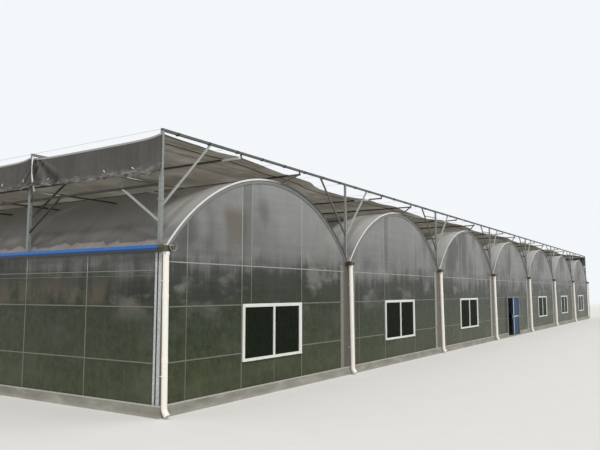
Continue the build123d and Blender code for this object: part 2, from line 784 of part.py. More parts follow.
# Written pieces
save("kerb_front", front_kerb())
save("kerb_back", back_kerb())
save("kerb_left", left_kerb())
save("kerb_right", at_right(left_kerb()))
save("door_threshold", threshold())
save("front_columns", front_columns())
save("back_columns", mirrored(front_columns()))
save("left_columns", left_columns())
save("right_columns", at_right(left_columns()))
save("inner_columns", inner_columns())
save("gutters", gutters())
save("roof_sheets", [Pos(x, 0, 0) * roof_sheet() for x in SPAN_CENTRES])
save("roof_trusses", trusses())
save("roof_purlins", purlins())
save("front_gable_arches", front_gable_arches())
save("back_gable_arches", mirrored(front_gable_arches()))
save("front_sheets", front_sheets())
save("back_sheets", back_sheets())
save("front_gable_frames", gable_frames(DOOR_SPAN))
save("back_gable_frames", mirrored(gable_frames(None)))
save("left_sheets", left_sheets())
save("right_sheets", at_right(left_sheets()))
save("left_side_frame", left_side_frame())
save("right_side_frame", at_right(left_side_frame()))
save("corner_angles", corner_angles())
save("left_eave_strip", left_eave_strip())
save("right_eave_strip", at_right(left_eave_strip()))
save("front_window_frames", in_windows([window_frame()], WINDOW_SPANS))
save("front_window_glass", in_windows(window_panes(), WINDOW_SPANS))
save("back_window_frames", mirrored(in_windows([window_frame()], range(SPAN_COUNT))))
save("back_window_glass", mirrored(in_windows(window_panes(), range(SPAN_COUNT))))
save("door_frame", door_frame())
save("door_leaf_right", right_leaf())
save("door_leaf_left", left_leaf())
save("front_downpipes", downpipes())
save("back_downpipes", mirrored(downpipes()))
save("shade_posts", shade_posts())
save("shade_beams", shade_beams())
save("front_shade_braces", row_braces(ROWS[0]))
save("back_shade_braces", row_braces(ROWS[-1]))
save("inner_shade_braces", inner_braces())
save("shade_lower_tubes", lower_tubes())
save("shade_knee_braces", knee_braces())
save("shade_side_ties", left_ties() + at_right(left_ties()))
save("shade_upper_tubes", upper_tubes())
save("shade_tube_hangers", tube_hangers() + end_props())
save("shade_net", shade_net())
save("left_valance", left_valance())
save("right_valance", at_right(left_valance()))
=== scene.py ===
"""Looks of a half-size polycarbonate greenhouse with an outside shade net.

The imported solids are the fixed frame. They get their finishes here, and the
cloth, pipes, cover strips, sashes, clips and wires are made around them.
Lengths are metres in the frame's own axes: X along the door facade, Y into
the building, Z up.
"""

import json
import logging
import math
from collections.abc import Iterable, Sequence
from dataclasses import dataclass, field
from enum import Enum

import bpy
import numpy as np
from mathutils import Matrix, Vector


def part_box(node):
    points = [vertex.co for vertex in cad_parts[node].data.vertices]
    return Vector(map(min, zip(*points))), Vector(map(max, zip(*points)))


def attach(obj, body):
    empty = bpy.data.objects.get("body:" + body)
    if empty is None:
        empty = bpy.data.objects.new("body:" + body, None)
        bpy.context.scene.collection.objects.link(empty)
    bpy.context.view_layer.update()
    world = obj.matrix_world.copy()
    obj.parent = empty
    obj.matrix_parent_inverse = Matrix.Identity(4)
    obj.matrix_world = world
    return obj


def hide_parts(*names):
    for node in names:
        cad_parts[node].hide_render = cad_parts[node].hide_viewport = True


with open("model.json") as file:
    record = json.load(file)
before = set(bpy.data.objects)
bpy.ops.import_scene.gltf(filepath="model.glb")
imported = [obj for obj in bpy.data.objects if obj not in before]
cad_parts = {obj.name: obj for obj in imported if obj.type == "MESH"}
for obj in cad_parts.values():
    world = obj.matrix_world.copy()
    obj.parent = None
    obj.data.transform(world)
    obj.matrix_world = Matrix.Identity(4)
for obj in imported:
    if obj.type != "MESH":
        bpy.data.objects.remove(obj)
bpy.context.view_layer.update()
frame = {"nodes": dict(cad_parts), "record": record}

LOG = logging.getLogger("greenhouse")

Colour = tuple[float, float, float]
Shape = tuple[np.ndarray, list[list[int]]]
Levels = Sequence[tuple[float, Colour]]
Edges = tuple[tuple[float, float], tuple[float, float]]
Socket = bpy.types.NodeSocket
Material = bpy.types.Material


class Body(Enum):
    """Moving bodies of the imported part."""

    GREENHOUSE = "greenhouse"
    DOOR_RIGHT = "door_right"
    DOOR_LEFT = "door_left"


class Slot(Enum):
    """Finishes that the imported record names."""

    KERB = "kerb_concrete"
    FRAME = "galvanised_frame"
    GUTTER = "gutter_steel"
    ROOF = "roof_polycarbonate"
    WALL = "wall_polycarbonate"
    ARCH = "arch_aluminium"
    CORNER = "corner_aluminium"
    STRIP = "blue_strip"
    WINDOW = "white_frame"
    GLASS = "window_glass"
    DOOR = "blue_door"
    PIPE = "white_pipe"
    SHADE = "shade_steel"
    CLOTH = "shade_cloth"


@dataclass(frozen=True)
class Layout:
    """Sizes and levels of the building, the same as those of the solids."""

    spans: int = 7
    bays: int = 4
    door_span: int = 3
    span: float = 3.5
    bay: float = 2.0
    kerb_top: float = 0.105
    wall_top: float = 1.457
    frame_inset: float = 0.03
    gutter_bottom: float = 1.46
    gutter_top: float = 1.522
    gutter_half: float = 0.06
    gutter_floor_half: float = 0.05
    gutter_overhang: float = 0.08
    arch_rise: float = 0.845
    arch_lap: float = 0.02
    arch_rim_gap: float = 0.015
    low_rail: float = 0.465
    mid_rail: float = 0.965
    high_rail: float = 1.375
    side_rail: float = 1.295
    window_sill: float = 0.375
    window_head: float = 0.975
    door_head: float = 0.985
    beam_top: float = 2.600848
    beam: float = 0.025
    post_upper: float = 0.026
    tube_top: float = 2.550848

    @property
    def x_left(self) -> float:
        """Outer face of the left wall."""
        return -self.spans * self.span / 2

    @property
    def y_front(self) -> float:
        """Outer face of the door facade."""
        return -self.bays * self.bay / 2

    @property
    def mullion(self) -> float:
        """Mullion from the middle of its span."""
        return self.span / 6

    @property
    def gutter_lines(self) -> np.ndarray:
        """X of the gutters."""
        return self.x_left + self.span * np.arange(self.spans + 1)

    @property
    def centres(self) -> np.ndarray:
        """X of the span centres."""
        return self.x_left + self.span * (np.arange(self.spans) + 0.5)

    @property
    def rows(self) -> np.ndarray:
        """Y of the rows of columns and shade posts."""
        inner = self.y_front + self.bay * np.arange(1, self.bays)
        first = self.y_front + self.frame_inset
        return np.concatenate([[first], inner, [-first]])

    @property
    def sheet_joints(self) -> np.ndarray:
        """Y of the joints of the side and roof sheets, at each inner row and half bay."""
        rows = self.rows
        return np.concatenate([rows[1:-1], (rows[:-1] + rows[1:]) / 2])

    @property
    def arch_half(self) -> float:
        """Half of the roof's width over one span, from eave to eave."""
        return self.span / 2 - self.gutter_half + self.arch_lap

    @property
    def arch_radius(self) -> float:
        """Outer radius of the roof sheets."""
        return (self.arch_half**2 + self.arch_rise**2) / (2 * self.arch_rise)

    @property
    def arch_centre(self) -> float:
        """Level of the middle of the roof arcs."""
        slope = math.tan(2 * math.atan(self.arch_rise / self.arch_half))
        dip = self.arch_lap * slope - self.arch_rim_gap
        return self.gutter_top - dip + self.arch_rise - self.arch_radius

    def arch_level(self, offset: np.ndarray, inside: float) -> np.ndarray:
        """Level of an arc that runs inside the roof face.

        Args:
            offset: Distances from the middle of the span.
            inside: How far the arc is inside the outer face.

        Returns:
            Levels: centre level plus the root of radius squared less offset squared.
        """
        return self.arch_centre + np.sqrt((self.arch_radius - inside) ** 2 - offset**2)


PLAN = Layout()
UP = np.array([0.0, 0.0, 1.0])
SIDEWAYS = np.array([0.0, 1.0, 0.0])


def unit(vectors: np.ndarray) -> np.ndarray:
    """Vectors divided by their own lengths."""
    return vectors / np.linalg.norm(vectors, axis=-1, keepdims=True)


def ring_faces(count: int, steps: int, corners: int, turned: bool = False) -> list[list[int]]:
    """Four-cornered faces between rings of points, and a face over each end.

    Args:
        count: Number of paths.
        steps: Rings along each path.
        corners: Points in each ring.
        turned: Whether the rings run the other way round, so that the faces turn.

    Returns:
        Corner numbers of each face.
    """
    index = np.arange(count * steps * corners).reshape(count, steps, corners)
    here, ahead = index[:, :-1], index[:, 1:]
    next_here, next_ahead = np.roll(here, -1, 2), np.roll(ahead, -1, 2)
    quads = [here, ahead, next_ahead, next_here]
    ends = [index[:, 0], index[:, -1, ::-1]]
    if turned:
        quads = [here, next_here, next_ahead, ahead]
        ends = [index[:, 0, ::-1], index[:, -1]]
    faces = np.stack(quads, -1).reshape(-1, 4).tolist()
    return faces + ends[0].tolist() + ends[1].tolist()


def sweep(paths: np.ndarray, profile: np.ndarray, up: np.ndarray = UP) -> Shape:
    """Carries a closed profile along many paths at once.

    A ring point is the path point, plus the profile's first number along the
    side direction (run crossed with up), plus its second along the direction
    square to both.

    Args:
        paths: Points of the paths, shaped (path, point, 3).
        profile: Outline, counter-clockwise, shaped (corner, 2) or (path, corner, 2).
        up: The way that the profile's second number points.

    Returns:
        Vertices and faces, the ends closed.
    """
    paths = np.asarray(paths, float)
    profile = np.broadcast_to(profile, (len(paths), *np.shape(profile)[-2:]))
    run = unit(np.gradient(paths, axis=1))
    side = unit(np.cross(run, up))
    lift = np.cross(side, run)
    along = profile[:, None, :, 0, None] * side[:, :, None]
    rise = profile[:, None, :, 1, None] * lift[:, :, None]
    rings = paths[:, :, None] + along + rise
    return rings.reshape(-1, 3), ring_faces(*rings.shape[:3])


def straight(
    starts: np.ndarray, ends: np.ndarray, profile: np.ndarray, up: np.ndarray = UP
) -> Shape:
    """Straight bars: a profile carried from each start to its end."""
    return sweep(np.stack([starts, ends], 1), profile, up)


def xyz(x: object, y: object, z: object) -> np.ndarray:
    """Points from three coordinates, each one number for all of them or one for each."""
    return np.stack(np.broadcast_arrays(x, y, z), -1)


def crossings(x: np.ndarray, y: np.ndarray) -> tuple[np.ndarray, np.ndarray]:
    """X and Y of every crossing of lines at the given X with lines at the given Y."""
    across, along = np.meshgrid(x, y)
    return across.ravel(), along.ravel()


def blocks(low: np.ndarray, high: np.ndarray) -> Shape:
    """Boxes, each a rectangle carried along X from its low to its high corner.

    Args:
        low: Lowest corner of one box or of each.
        high: Highest corner of one box or of each.

    Returns:
        Vertices and faces of all the boxes.
    """
    low, high = np.broadcast_arrays(np.atleast_2d(low), np.atleast_2d(high))
    middle = (low + high) / 2
    start, end = middle.copy(), middle.copy()
    start[:, 0], end[:, 0] = low[:, 0], high[:, 0]
    half = (high - low)[:, 1:] / 2
    corners = np.array([[-1, -1], [1, -1], [1, 1], [-1, 1]])
    return straight(start, end, half[:, None] * corners)


def rods(starts: np.ndarray, ends: np.ndarray, radius: float, sides: int = 8) -> Shape:
    """Round bars: a circle carried from each start to its end.

    Args:
        starts: First point of each bar.
        ends: Last point of each bar.
        radius: Radius of them all.
        sides: Corners of the circle.

    Returns:
        Vertices and faces of all the bars.
    """
    starts, ends = np.broadcast_arrays(np.atleast_2d(starts), np.atleast_2d(ends))
    run = ends - starts
    level = np.abs(run[:, 2]).max() < 0.9 * np.linalg.norm(run, axis=1).min()
    return straight(starts, ends, circle(radius, sides), UP if level else SIDEWAYS)


def circle(radius: float, sides: int) -> np.ndarray:
    """Counter-clockwise corners at equal angles."""
    angle = 2 * math.pi * np.arange(sides) / sides
    return radius * np.column_stack([np.cos(angle), np.sin(angle)])


def hat(width: float, proud: float) -> np.ndarray:
    """Cover strip's outline: flat underneath, with sloping shoulders."""
    half = width / 2
    return np.array([[-half, 0], [half, 0], [half * 0.6, proud], [-half * 0.6, proud]])


def grid(points: np.ndarray, turned: bool = False) -> Shape:
    """Open surface whose faces join neighbours in a grid of points.

    Args:
        points: Points shaped (row, column, 3).
        turned: Whether the faces turn to the other side.

    Returns:
        Vertices and faces.
    """
    rows, columns = points.shape[:2]
    index = np.arange(rows * columns).reshape(rows, columns)
    corners = [index[:-1, :-1], index[1:, :-1], index[1:, 1:], index[:-1, 1:]]
    faces = np.stack(corners[::-1] if turned else corners, -1).reshape(-1, 4)
    return points.reshape(-1, 3), faces.tolist()


def joined(shapes: Iterable[Shape]) -> Shape:
    """Several shapes as one, with the corner numbers of each moved up in turn.

    Args:
        shapes: The shapes.

    Returns:
        Vertices and faces of all of them.
    """
    points: list[np.ndarray] = []
    faces: list[list[int]] = []
    start = 0
    for vertices, own in shapes:
        points.append(vertices)
        faces += [[i + start for i in face] for face in own]
        start += len(vertices)
    return np.concatenate(points), faces


def at_back(shape: Shape) -> Shape:
    """The same shape at the back wall: Y changes sign and the faces turn round."""
    return shape[0] * [1, -1, 1], [face[::-1] for face in shape[1]]


def at_right(shape: Shape) -> Shape:
    """The same shape at the right wall: X changes sign and the faces turn round."""
    return shape[0] * [-1, 1, 1], [face[::-1] for face in shape[1]]


def on_both_gables(shape: Shape) -> Shape:
    """A shape of the door facade together with its mirror image at the back wall."""
    return joined([shape, at_back(shape)])


def on_all_corners(shape: Shape) -> Shape:
    """A shape of the left front corner together with its mirror images at the other three."""
    return joined([shape, at_right(shape), at_back(shape), at_back(at_right(shape))])


def repeated(shape: Shape, along: Iterable[float]) -> Shape:
    """One shape, made at X 0, again at each given X."""
    return joined((shape[0] + [x, 0, 0], shape[1]) for x in along)


def waves(x: np.ndarray, y: np.ndarray, seed: int, length: tuple[float, float]) -> np.ndarray:
    """Irregular waves: a sum of nine sines with seeded directions and phases.

    Args:
        x: First coordinate.
        y: Second coordinate.
        seed: Start of the random numbers.
        length: Shortest and longest wavelength.

    Returns:
        Heights, mostly between -1 and 1.
    """
    rng = np.random.default_rng(seed)
    total = np.zeros(np.broadcast(x, y).shape)
    for _ in range(9):
        angle, phase = rng.uniform(0, 2 * math.pi, 2)
        pitch = 2 * math.pi / rng.uniform(*length)
        total += np.sin(pitch * (x * math.cos(angle) + y * math.sin(angle)) + phase)
    return total / 4.5


class ShaderGraph:
    """One material whose nodes are added and joined by short calls."""

    def __init__(self, name: str) -> None:
        """Starts the material with a principled surface.

        Args:
            name: Name of the material.
        """
        self.material = bpy.data.materials.new(name)
        self.material.use_nodes = True
        self.nodes = self.material.node_tree.nodes
        self.links = self.material.node_tree.links
        self.nodes.clear()
        self.output = self.nodes.new("ShaderNodeOutputMaterial")
        self.surface = self.nodes.new("ShaderNodeBsdfPrincipled")
        self.show(self.surface)

    def show(self, shader: bpy.types.Node) -> Material:
        """Sends a shader to the output, and gives the material."""
        self.links.new(shader.outputs[0], self.output.inputs["Surface"])
        return self.material

    def add(self, kind: str, inputs: dict | None = None, **settings: object) -> bpy.types.Node:
        """Adds a node.

        Args:
            kind: Node type after "ShaderNode".
            inputs: Value or socket for each input, by name or number.
            settings: Attributes of the node.

        Returns:
            The node.
        """
        node = self.nodes.new("ShaderNode" + kind)
        for name, value in settings.items():
            setattr(node, name, value)
        for name, value in (inputs or {}).items():
            self.put(node.inputs[name], value)
        return node

    def put(self, socket: Socket, value: object) -> None:
        """Links a socket, or sets its value.

        Args:
            socket: An input.
            value: Output of another node, a number, or a colour without alpha.
        """
        if isinstance(value, Socket):
            self.links.new(value, socket)
        elif isinstance(value, tuple) and len(value) == 3 and socket.type == "RGBA":
            socket.default_value = (*value, 1.0)
        else:
            socket.default_value = value

    def place(self, scale: Colour = (1, 1, 1), uv: bool = False) -> Socket:
        """Object or UV coordinates, stretched."""
        source = self.add("TexCoord").outputs["UV" if uv else "Object"]
        return self.add("Mapping", {"Vector": source, "Scale": scale}).outputs[0]

    def axis(self, name: str, uv: bool = False) -> Socket:
        """One coordinate, "X", "Y" or "Z"."""
        return self.add("SeparateXYZ", {0: self.place(uv=uv)}).outputs[name]

    def off_middle(self, name: str) -> Socket:
        """Distance from the middle of the building along one axis."""
        return self.maths("ABSOLUTE", self.axis(name))

    def noise(
        self, place: Socket, scale: float, detail: float = 4, rough: float = 0.55
    ) -> Socket:
        """Noise between 0 and 1, mostly near a half."""
        inputs = {"Vector": place, "Scale": scale, "Detail": detail, "Roughness": rough}
        return self.add("TexNoise", inputs).outputs["Fac"]

    def maths(self, operation: str, *values: object, clamp: bool = False) -> Socket:
        """A sum, product or other operation on numbers."""
        node = self.add("Math", dict(enumerate(values)), operation=operation, use_clamp=clamp)
        return node.outputs[0]

    def times(self, a: object, b: object) -> Socket:
        """The product of two numbers."""
        return self.maths("MULTIPLY", a, b)

    def line(self, value: object, slope: object, start: object) -> Socket:
        """Value times slope, plus start."""
        return self.maths("MULTIPLY_ADD", value, slope, start)

    def between(self, value: object, low: float, high: float) -> Socket:
        """0 at low, 1 at high, smooth in between."""
        inputs = {"Value": value, "From Min": low, "From Max": high}
        return self.add("MapRange", inputs, interpolation_type="SMOOTHSTEP").outputs[0]

    def band(self, value: object, edges: Edges) -> Socket:
        """1 inside two soft edges and 0 outside: the product of a step at each edge."""
        return self.times(*(self.between(value, *edge) for edge in edges))

    def mix(self, factor: object, a: object, b: object, how: str = "MIX") -> Socket:
        """Mixes two colours, through the node's colour sockets 6, 7 and 2.

        Args:
            factor: Share of the second colour.
            a: First colour.
            b: Second colour.
            how: Blend type of the node.

        Returns:
            The mixed colour.
        """
        node = self.add("Mix", data_type="RGBA", blend_type=how, clamp_factor=True)
        self.put(node.inputs["Factor"], factor)
        self.put(node.inputs[6], a)
        self.put(node.inputs[7], b)
        return node.outputs[2]

    def lay(self, tone: object, colour: object, share: object, strength: object) -> Socket:
        """A colour laid over a tone, by a share times a strength."""
        return self.mix(self.times(share, strength), tone, colour)

    def shaded(self, tone: object, shade: Socket) -> Socket:
        """A tone times a grey shade."""
        grey = self.add("CombineXYZ", {0: shade, 1: shade, 2: shade}).outputs[0]
        return self.mix(1.0, tone, grey, "MULTIPLY")

    def ramp(self, value: object, stops: Levels) -> Socket:
        """Colours by value, straight between the stops.

        Args:
            value: Number between 0 and 1.
            stops: Place and colour of each stop, in rising order.

        Returns:
            The colour.
        """
        node = self.add("ValToRGB", {0: value})
        band = node.color_ramp
        for element, (position, colour) in zip(band.elements, (stops[0], stops[-1])):
            element.position, element.color = position, (*colour, 1)
        for position, colour in stops[1:-1]:
            band.elements.new(position).color = (*colour, 1)
        return node.outputs[0]

    def by_level(self, level: object, levels: Levels, top: float) -> Socket:
        """Colours by height: the ramp is read at (level less lowest) over (top less lowest).

        Args:
            level: Height in metres.
            levels: Height and colour of each stop, in rising order.
            top: Height at the ramp's end.

        Returns:
            The colour.
        """
        low = levels[0][0]
        share = self.add("MapRange", {"Value": level, "From Min": low, "From Max": top}).outputs[0]
        return self.ramp(share, [((z - low) / (top - low), colour) for z, colour in levels])

    def bump(self, height: object, strength: float, distance: float) -> None:
        """Bump on the surface."""
        inputs = {"Height": height, "Strength": strength, "Distance": distance}
        self.put(self.surface.inputs["Normal"], self.add("Bump", inputs).outputs[0])

    def dress(self, **values: object) -> Material:
        """Sets inputs of the surface.

        Args:
            values: Value or socket for each input, with underscores for spaces.

        Returns:
            The material.
        """
        for name, value in values.items():
            title = name.replace("_", " ").title().replace("Ior", "IOR")
            self.put(self.surface.inputs[title], value)
        return self.material


def span_share(g: ShaderGraph, margin: float) -> Socket:
    """How far across its span a point is: 0 at one gutter line and 1 at the next.

    Args:
        g: Nodes of the material.
        margin: How far before the gutter line the count starts again.

    Returns:
        What is left over when the distance from the left wall is divided by the span.
    """
    from_wall = g.maths("SUBTRACT", g.axis("X"), PLAN.x_left - margin)
    return g.maths("FRACT", g.maths("DIVIDE", from_wall, PLAN.span))


@dataclass(frozen=True)
class Metal:
    """Zinc or aluminium: mottled crystals, an uneven polish and a little dirt."""

    name: str
    tone: Colour
    dirt: Colour = (0.16, 0.15, 0.12)
    dirty: float = 0.25
    crystal: float = 70.0
    metallic: float = 0.35
    roughness: float = 0.45

    def build(self) -> Material:
        """Makes the material: the tone times a shade for each crystal, then dirt in patches.

        Returns:
            The material.
        """
        g = ShaderGraph(self.name)
        cells = g.add("TexVoronoi", {"Vector": g.place(), "Scale": self.crystal})
        spangle = g.add("SeparateXYZ", {0: cells.outputs["Color"]}).outputs[0]
        tone = g.shaded(self.tone, g.line(spangle, 0.3, 0.85))
        patches = g.noise(g.place((6, 6, 1.5)), 1.4, 6)
        tone = g.lay(tone, self.dirt, g.between(patches, 0.5, 0.75), self.dirty)
        g.bump(g.noise(g.place(), 160, 3), 0.12, 0.001)
        rough = g.line(patches, 0.25, self.roughness - 0.1)
        return g.dress(
            base_color=tone, metallic=self.metallic, roughness=rough, specular_ior_level=0.3
        )


class Where(Enum):
    """Where a part takes its lighter tone."""

    RIGHT_ARMS = "right arms of the V braces"
    LEFT_HALVES = "left halves of the arches"
    BY_GABLES = "next to the gables"
    SECOND_ROWS = "second rows from the gables"
    FAR_LINES = "beyond the first two spans"
    HIGH_UP = "above the walls"


@dataclass(frozen=True)
class TwoTonePart:
    """Steel with a lighter tone in one place and a darker one elsewhere; on most parts these are
    painted light and painted shade.
    """

    name: str
    where: Where
    lighter: Colour = (0.36, 0.38, 0.365)
    darker: Colour = (0.15, 0.155, 0.145)
    margin: float = 0.0005

    def place(self, g: ShaderGraph) -> Socket:
        """Where the steel takes the lighter tone: a step along an axis, or one across each span.

        Args:
            g: Nodes of the material.

        Returns:
            1 where the steel takes the lighter tone, 0 elsewhere.
        """
        share, out = span_share(g, self.margin), g.off_middle("Y")
        from_row = g.maths("ABSOLUTE", g.maths("SUBTRACT", out, PLAN.bay))
        return {
            Where.RIGHT_ARMS: g.maths("LESS_THAN", share, 0.5),
            Where.LEFT_HALVES: g.between(share, 0.56, 0.4),
            Where.BY_GABLES: g.maths("GREATER_THAN", out, 3.0),
            Where.SECOND_ROWS: g.maths("LESS_THAN", from_row, 0.5),
            Where.FAR_LINES: g.between(g.axis("X"), -8.0, -3.0),
            Where.HIGH_UP: g.between(g.axis("Z"), 1.2, 1.38),
        }[self.where]

    def build(self) -> Material:
        """Makes the material: both tones by place, then patches of the darker tone over them.

        Returns:
            The material.
        """
        g = ShaderGraph(self.name)
        tone = g.mix(self.place(g), self.darker, self.lighter)
        patches = g.noise(g.place((5, 5, 5)), 1.6, 6)
        tone = g.lay(tone, self.darker, g.between(patches, 0.5, 0.75), 0.3)
        g.bump(g.noise(g.place(), 160, 3), 0.12, 0.001)
        rough = g.line(patches, 0.25, 0.35)
        return g.dress(base_color=tone, metallic=0.2, roughness=rough, specular_ior_level=0.3)


@dataclass(frozen=True)
class Plastic:
    """Painted metal or plain plastic with faint weathering that runs down."""

    name: str
    tone: Colour
    grime: Colour
    grimy: float = 0.35
    roughness: float = 0.35
    specular: float = 0.4
    ends: Colour | None = None

    def build(self) -> Material:
        """Makes the material: grime in runs, at the foot and in spots, and the ends' own tone.

        Returns:
            The material.
        """
        g = ShaderGraph(self.name)
        runs = g.noise(g.place((14, 14, 1.2)), 2.2, 7, 0.6)
        spots = g.noise(g.place(), 26, 5)
        foot = g.times(g.between(g.axis("Z"), 0.55, 0.0), self.grimy * 0.4)
        stain = g.times(g.between(runs, 0.45, 0.8), self.grimy)
        tone = g.mix(g.maths("ADD", stain, foot, clamp=True), self.tone, self.grime)
        tone = g.lay(tone, self.grime, g.between(spots, 0.62, 0.75), 0.25)
        if self.ends:
            wall = -PLAN.y_front
            beyond = g.between(g.off_middle("Y"), wall - 0.005, wall + 0.005)
            tone = g.mix(beyond, tone, self.ends)
        g.bump(spots, 0.06, 0.001)
        rough = g.line(runs, 0.2, self.roughness - 0.08)
        return g.dress(base_color=tone, roughness=rough, specular_ior_level=self.specular)


@dataclass(frozen=True)
class Concrete:
    """Cast kerb: blotches and damp grains, with a paler foot and rim."""

    name: str = "Kerb concrete"
    tone: Colour = (0.285, 0.273, 0.238)
    damp: Colour = (0.2, 0.19, 0.16)
    pale: Colour = (0.42, 0.405, 0.36)
    rim: Colour = (0.5, 0.49, 0.45)

    def build(self) -> Material:
        """Makes the material: blotches by noise, then the foot, the rim and damp grains.

        Returns:
            The material.
        """
        g = ShaderGraph(self.name)
        blotch = g.noise(g.place((1, 1, 3)), 3.2, 9, 0.62)
        tone = g.ramp(blotch, [(0.3, self.damp), (0.52, self.tone), (0.75, self.pale)])
        level = g.maths("ADD", g.axis("Z"), g.times(blotch, 0.05))
        tone = g.lay(tone, self.pale, g.between(level, 0.07, 0.02), 0.35)
        top = PLAN.kerb_top
        tone = g.lay(tone, self.rim, g.between(g.axis("Z"), top - 0.009, top - 0.004), 0.8)
        grain = g.noise(g.place(), 60, 6, 0.7)
        tone = g.lay(tone, self.damp, g.between(grain, 0.6, 0.72), 0.5)
        g.bump(grain, 0.5, 0.004)
        return g.dress(base_color=tone, roughness=0.92, specular_ior_level=0.2)


@dataclass(frozen=True)
class WallSheet:
    """Twin-wall sheet: dark and green low down, grey in the gables, streaked and ribbed."""

    name: str
    levels: Levels
    top: float = 2.4
    painted_sheen: Colour = (0.34, 0.335, 0.315)
    pool: Colour = (0.09, 0.09, 0.083)
    leaf_dark: Colour = (0.016, 0.022, 0.015)
    leaf: Colour = (0.037, 0.05, 0.029)
    leaf_light: Colour = (0.07, 0.091, 0.043)
    warm: Colour = (0.135, 0.112, 0.083)
    first_span: Edges = ((-8.3, -9.0), (-12.2, -12.15))
    warm_band: Edges = ((0.93, 1.02), (1.3, 1.08))
    patch_ends: Edges = ((2.01, 1.88), (1.4, 1.85))
    lap: Edges = ((0.332, 0.335), (0.382, 0.379))
    above: tuple[float, float] = (1.35, 1.6)
    ribs: float = 0.008
    margin: float = 0.001

    def level(self, g: ShaderGraph) -> Socket:
        """Height with a ragged edge.

        It is Z, plus streaks that are more ragged towards +X, plus broad
        waves, less a little in the first span.

        Args:
            g: Nodes of the material.

        Returns:
            The height that the tones are read at.
        """
        x = g.axis("X")
        streak = g.noise(g.place((6, 6, 0.35)), 1.3, 8, 0.68)
        broad = g.noise(g.place((1, 1, 0.8)), 0.9, 4, 0.5)
        ragged = g.line(g.between(x, -7.5, 0.5), 1.3, 0.6)
        shift = g.times(g.maths("SUBTRACT", streak, 0.5), ragged)
        shift = g.line(broad, 0.7, g.maths("SUBTRACT", shift, 0.35))
        first = g.band(x, self.first_span)
        return g.maths("ADD", g.axis("Z"), g.line(first, -0.08, shift))

    def shade(self, g: ShaderGraph, rib: Socket, blotch: Socket) -> Socket:
        """Grey shade: the sum of ribs, runs, layers, blotches and grain, stronger low down.

        Args:
            g: Nodes of the material.
            rib: The ribs' wave.
            blotch: The blotches' noise.

        Returns:
            A factor for the tone, about 1.
        """
        fine = g.noise(g.place((60, 60, 0.5)), 1.5, 5, 0.65)
        layers = g.noise(g.place((0.35, 0.35, 9)), 1.9, 6, 0.6)
        grain = g.noise(g.place((55, 55, 38)), 2.0, 3, 0.7)
        shade = g.line(rib, 0.05, g.line(fine, 0.9, -0.45))
        shade = g.line(layers, 0.7, shade)
        shade = g.line(blotch, 0.7, shade)
        shade = g.line(grain, 0.7, g.maths("SUBTRACT", shade, 0.35))
        strength = g.line(g.between(g.axis("Z"), 1.75, 1.4), 0.6, 0.5)
        return g.line(g.maths("SUBTRACT", shade, 0.7), strength, 1.02)

    def leaves(self, g: ShaderGraph, tone: Socket, level: Socket) -> Socket:
        """Green mottling behind the lower sheets, three tones by fine noise.

        Args:
            g: Nodes of the material.
            tone: Tone without it.
            level: Ragged height.

        Returns:
            Tone with it.
        """
        leaf = g.noise(g.place((3.4, 3.4, 2.4)), 4.2, 9, 0.78)
        stops = [(0.36, self.leaf_dark), (0.5, self.leaf), (0.64, self.leaf_light)]
        return g.lay(tone, g.ramp(leaf, stops), g.between(level, 1.15, 0.7), 0.55)

    def side_walls(self, g: ShaderGraph, tone: Socket, blotch: Socket) -> Socket:
        """Warm blotches in a band of the side walls, and a faint painted sheen below it.

        Args:
            g: Nodes of the material.
            tone: Tone without them.
            blotch: The blotches' noise.

        Returns:
            Tone with them.
        """
        wall, z = -PLAN.x_left, g.axis("Z")
        beside = g.between(g.off_middle("X"), wall - 0.1, wall - 0.05)
        band = g.times(beside, g.band(z, self.warm_band))
        warm = g.times(band, g.between(blotch, 0.35, 0.6))
        tone = g.lay(tone, self.warm, warm, 0.6)
        # Faint painted sheen low on the side walls.
        return g.lay(tone, self.painted_sheen, g.times(beside, g.between(z, 1.0, 0.85)), 0.035)

    def patch(self, g: ShaderGraph) -> Socket:
        """Brown patch in the first gable, between two sloping edges and with soft ends.

        Args:
            g: Nodes of the material.

        Returns:
            Its share: the product of the two edges and the root of the ends.
        """
        x, z = g.axis("X"), g.axis("Z")
        left = g.between(g.line(z, 0.25, x), -11.0, -10.84)
        right = g.between(g.line(z, -0.18, x), -11.25, -11.41)
        ends = g.band(z, self.patch_ends)
        return g.times(g.times(left, right), g.maths("POWER", ends, 0.5))

    def gables(self, g: ShaderGraph, tone: Socket) -> Socket:
        """Gable layers: dark pools, the patch, glare on the right of each span and a lap.

        Args:
            g: Nodes of the material.
            tone: Tone without them.

        Returns:
            Tone with them.
        """
        above, share = g.between(g.axis("Z"), *self.above), span_share(g, self.margin)
        pool = g.noise(g.place((1.5, 1.5, 0.7)), 1.2, 2, 0.45)
        tone = g.lay(tone, self.pool, g.between(pool, 0.47, 0.6), g.times(above, 0.75))
        tone = g.lay(tone, self.warm, self.patch(g), 0.66)
        # Painted glare towards the right of each span, above the walls.
        tone = g.lay(tone, self.painted_sheen, g.between(share, 0.3, 0.85), g.times(above, 0.3))
        return g.lay(tone, self.pool, g.band(share, self.lap), g.times(above, 0.4))

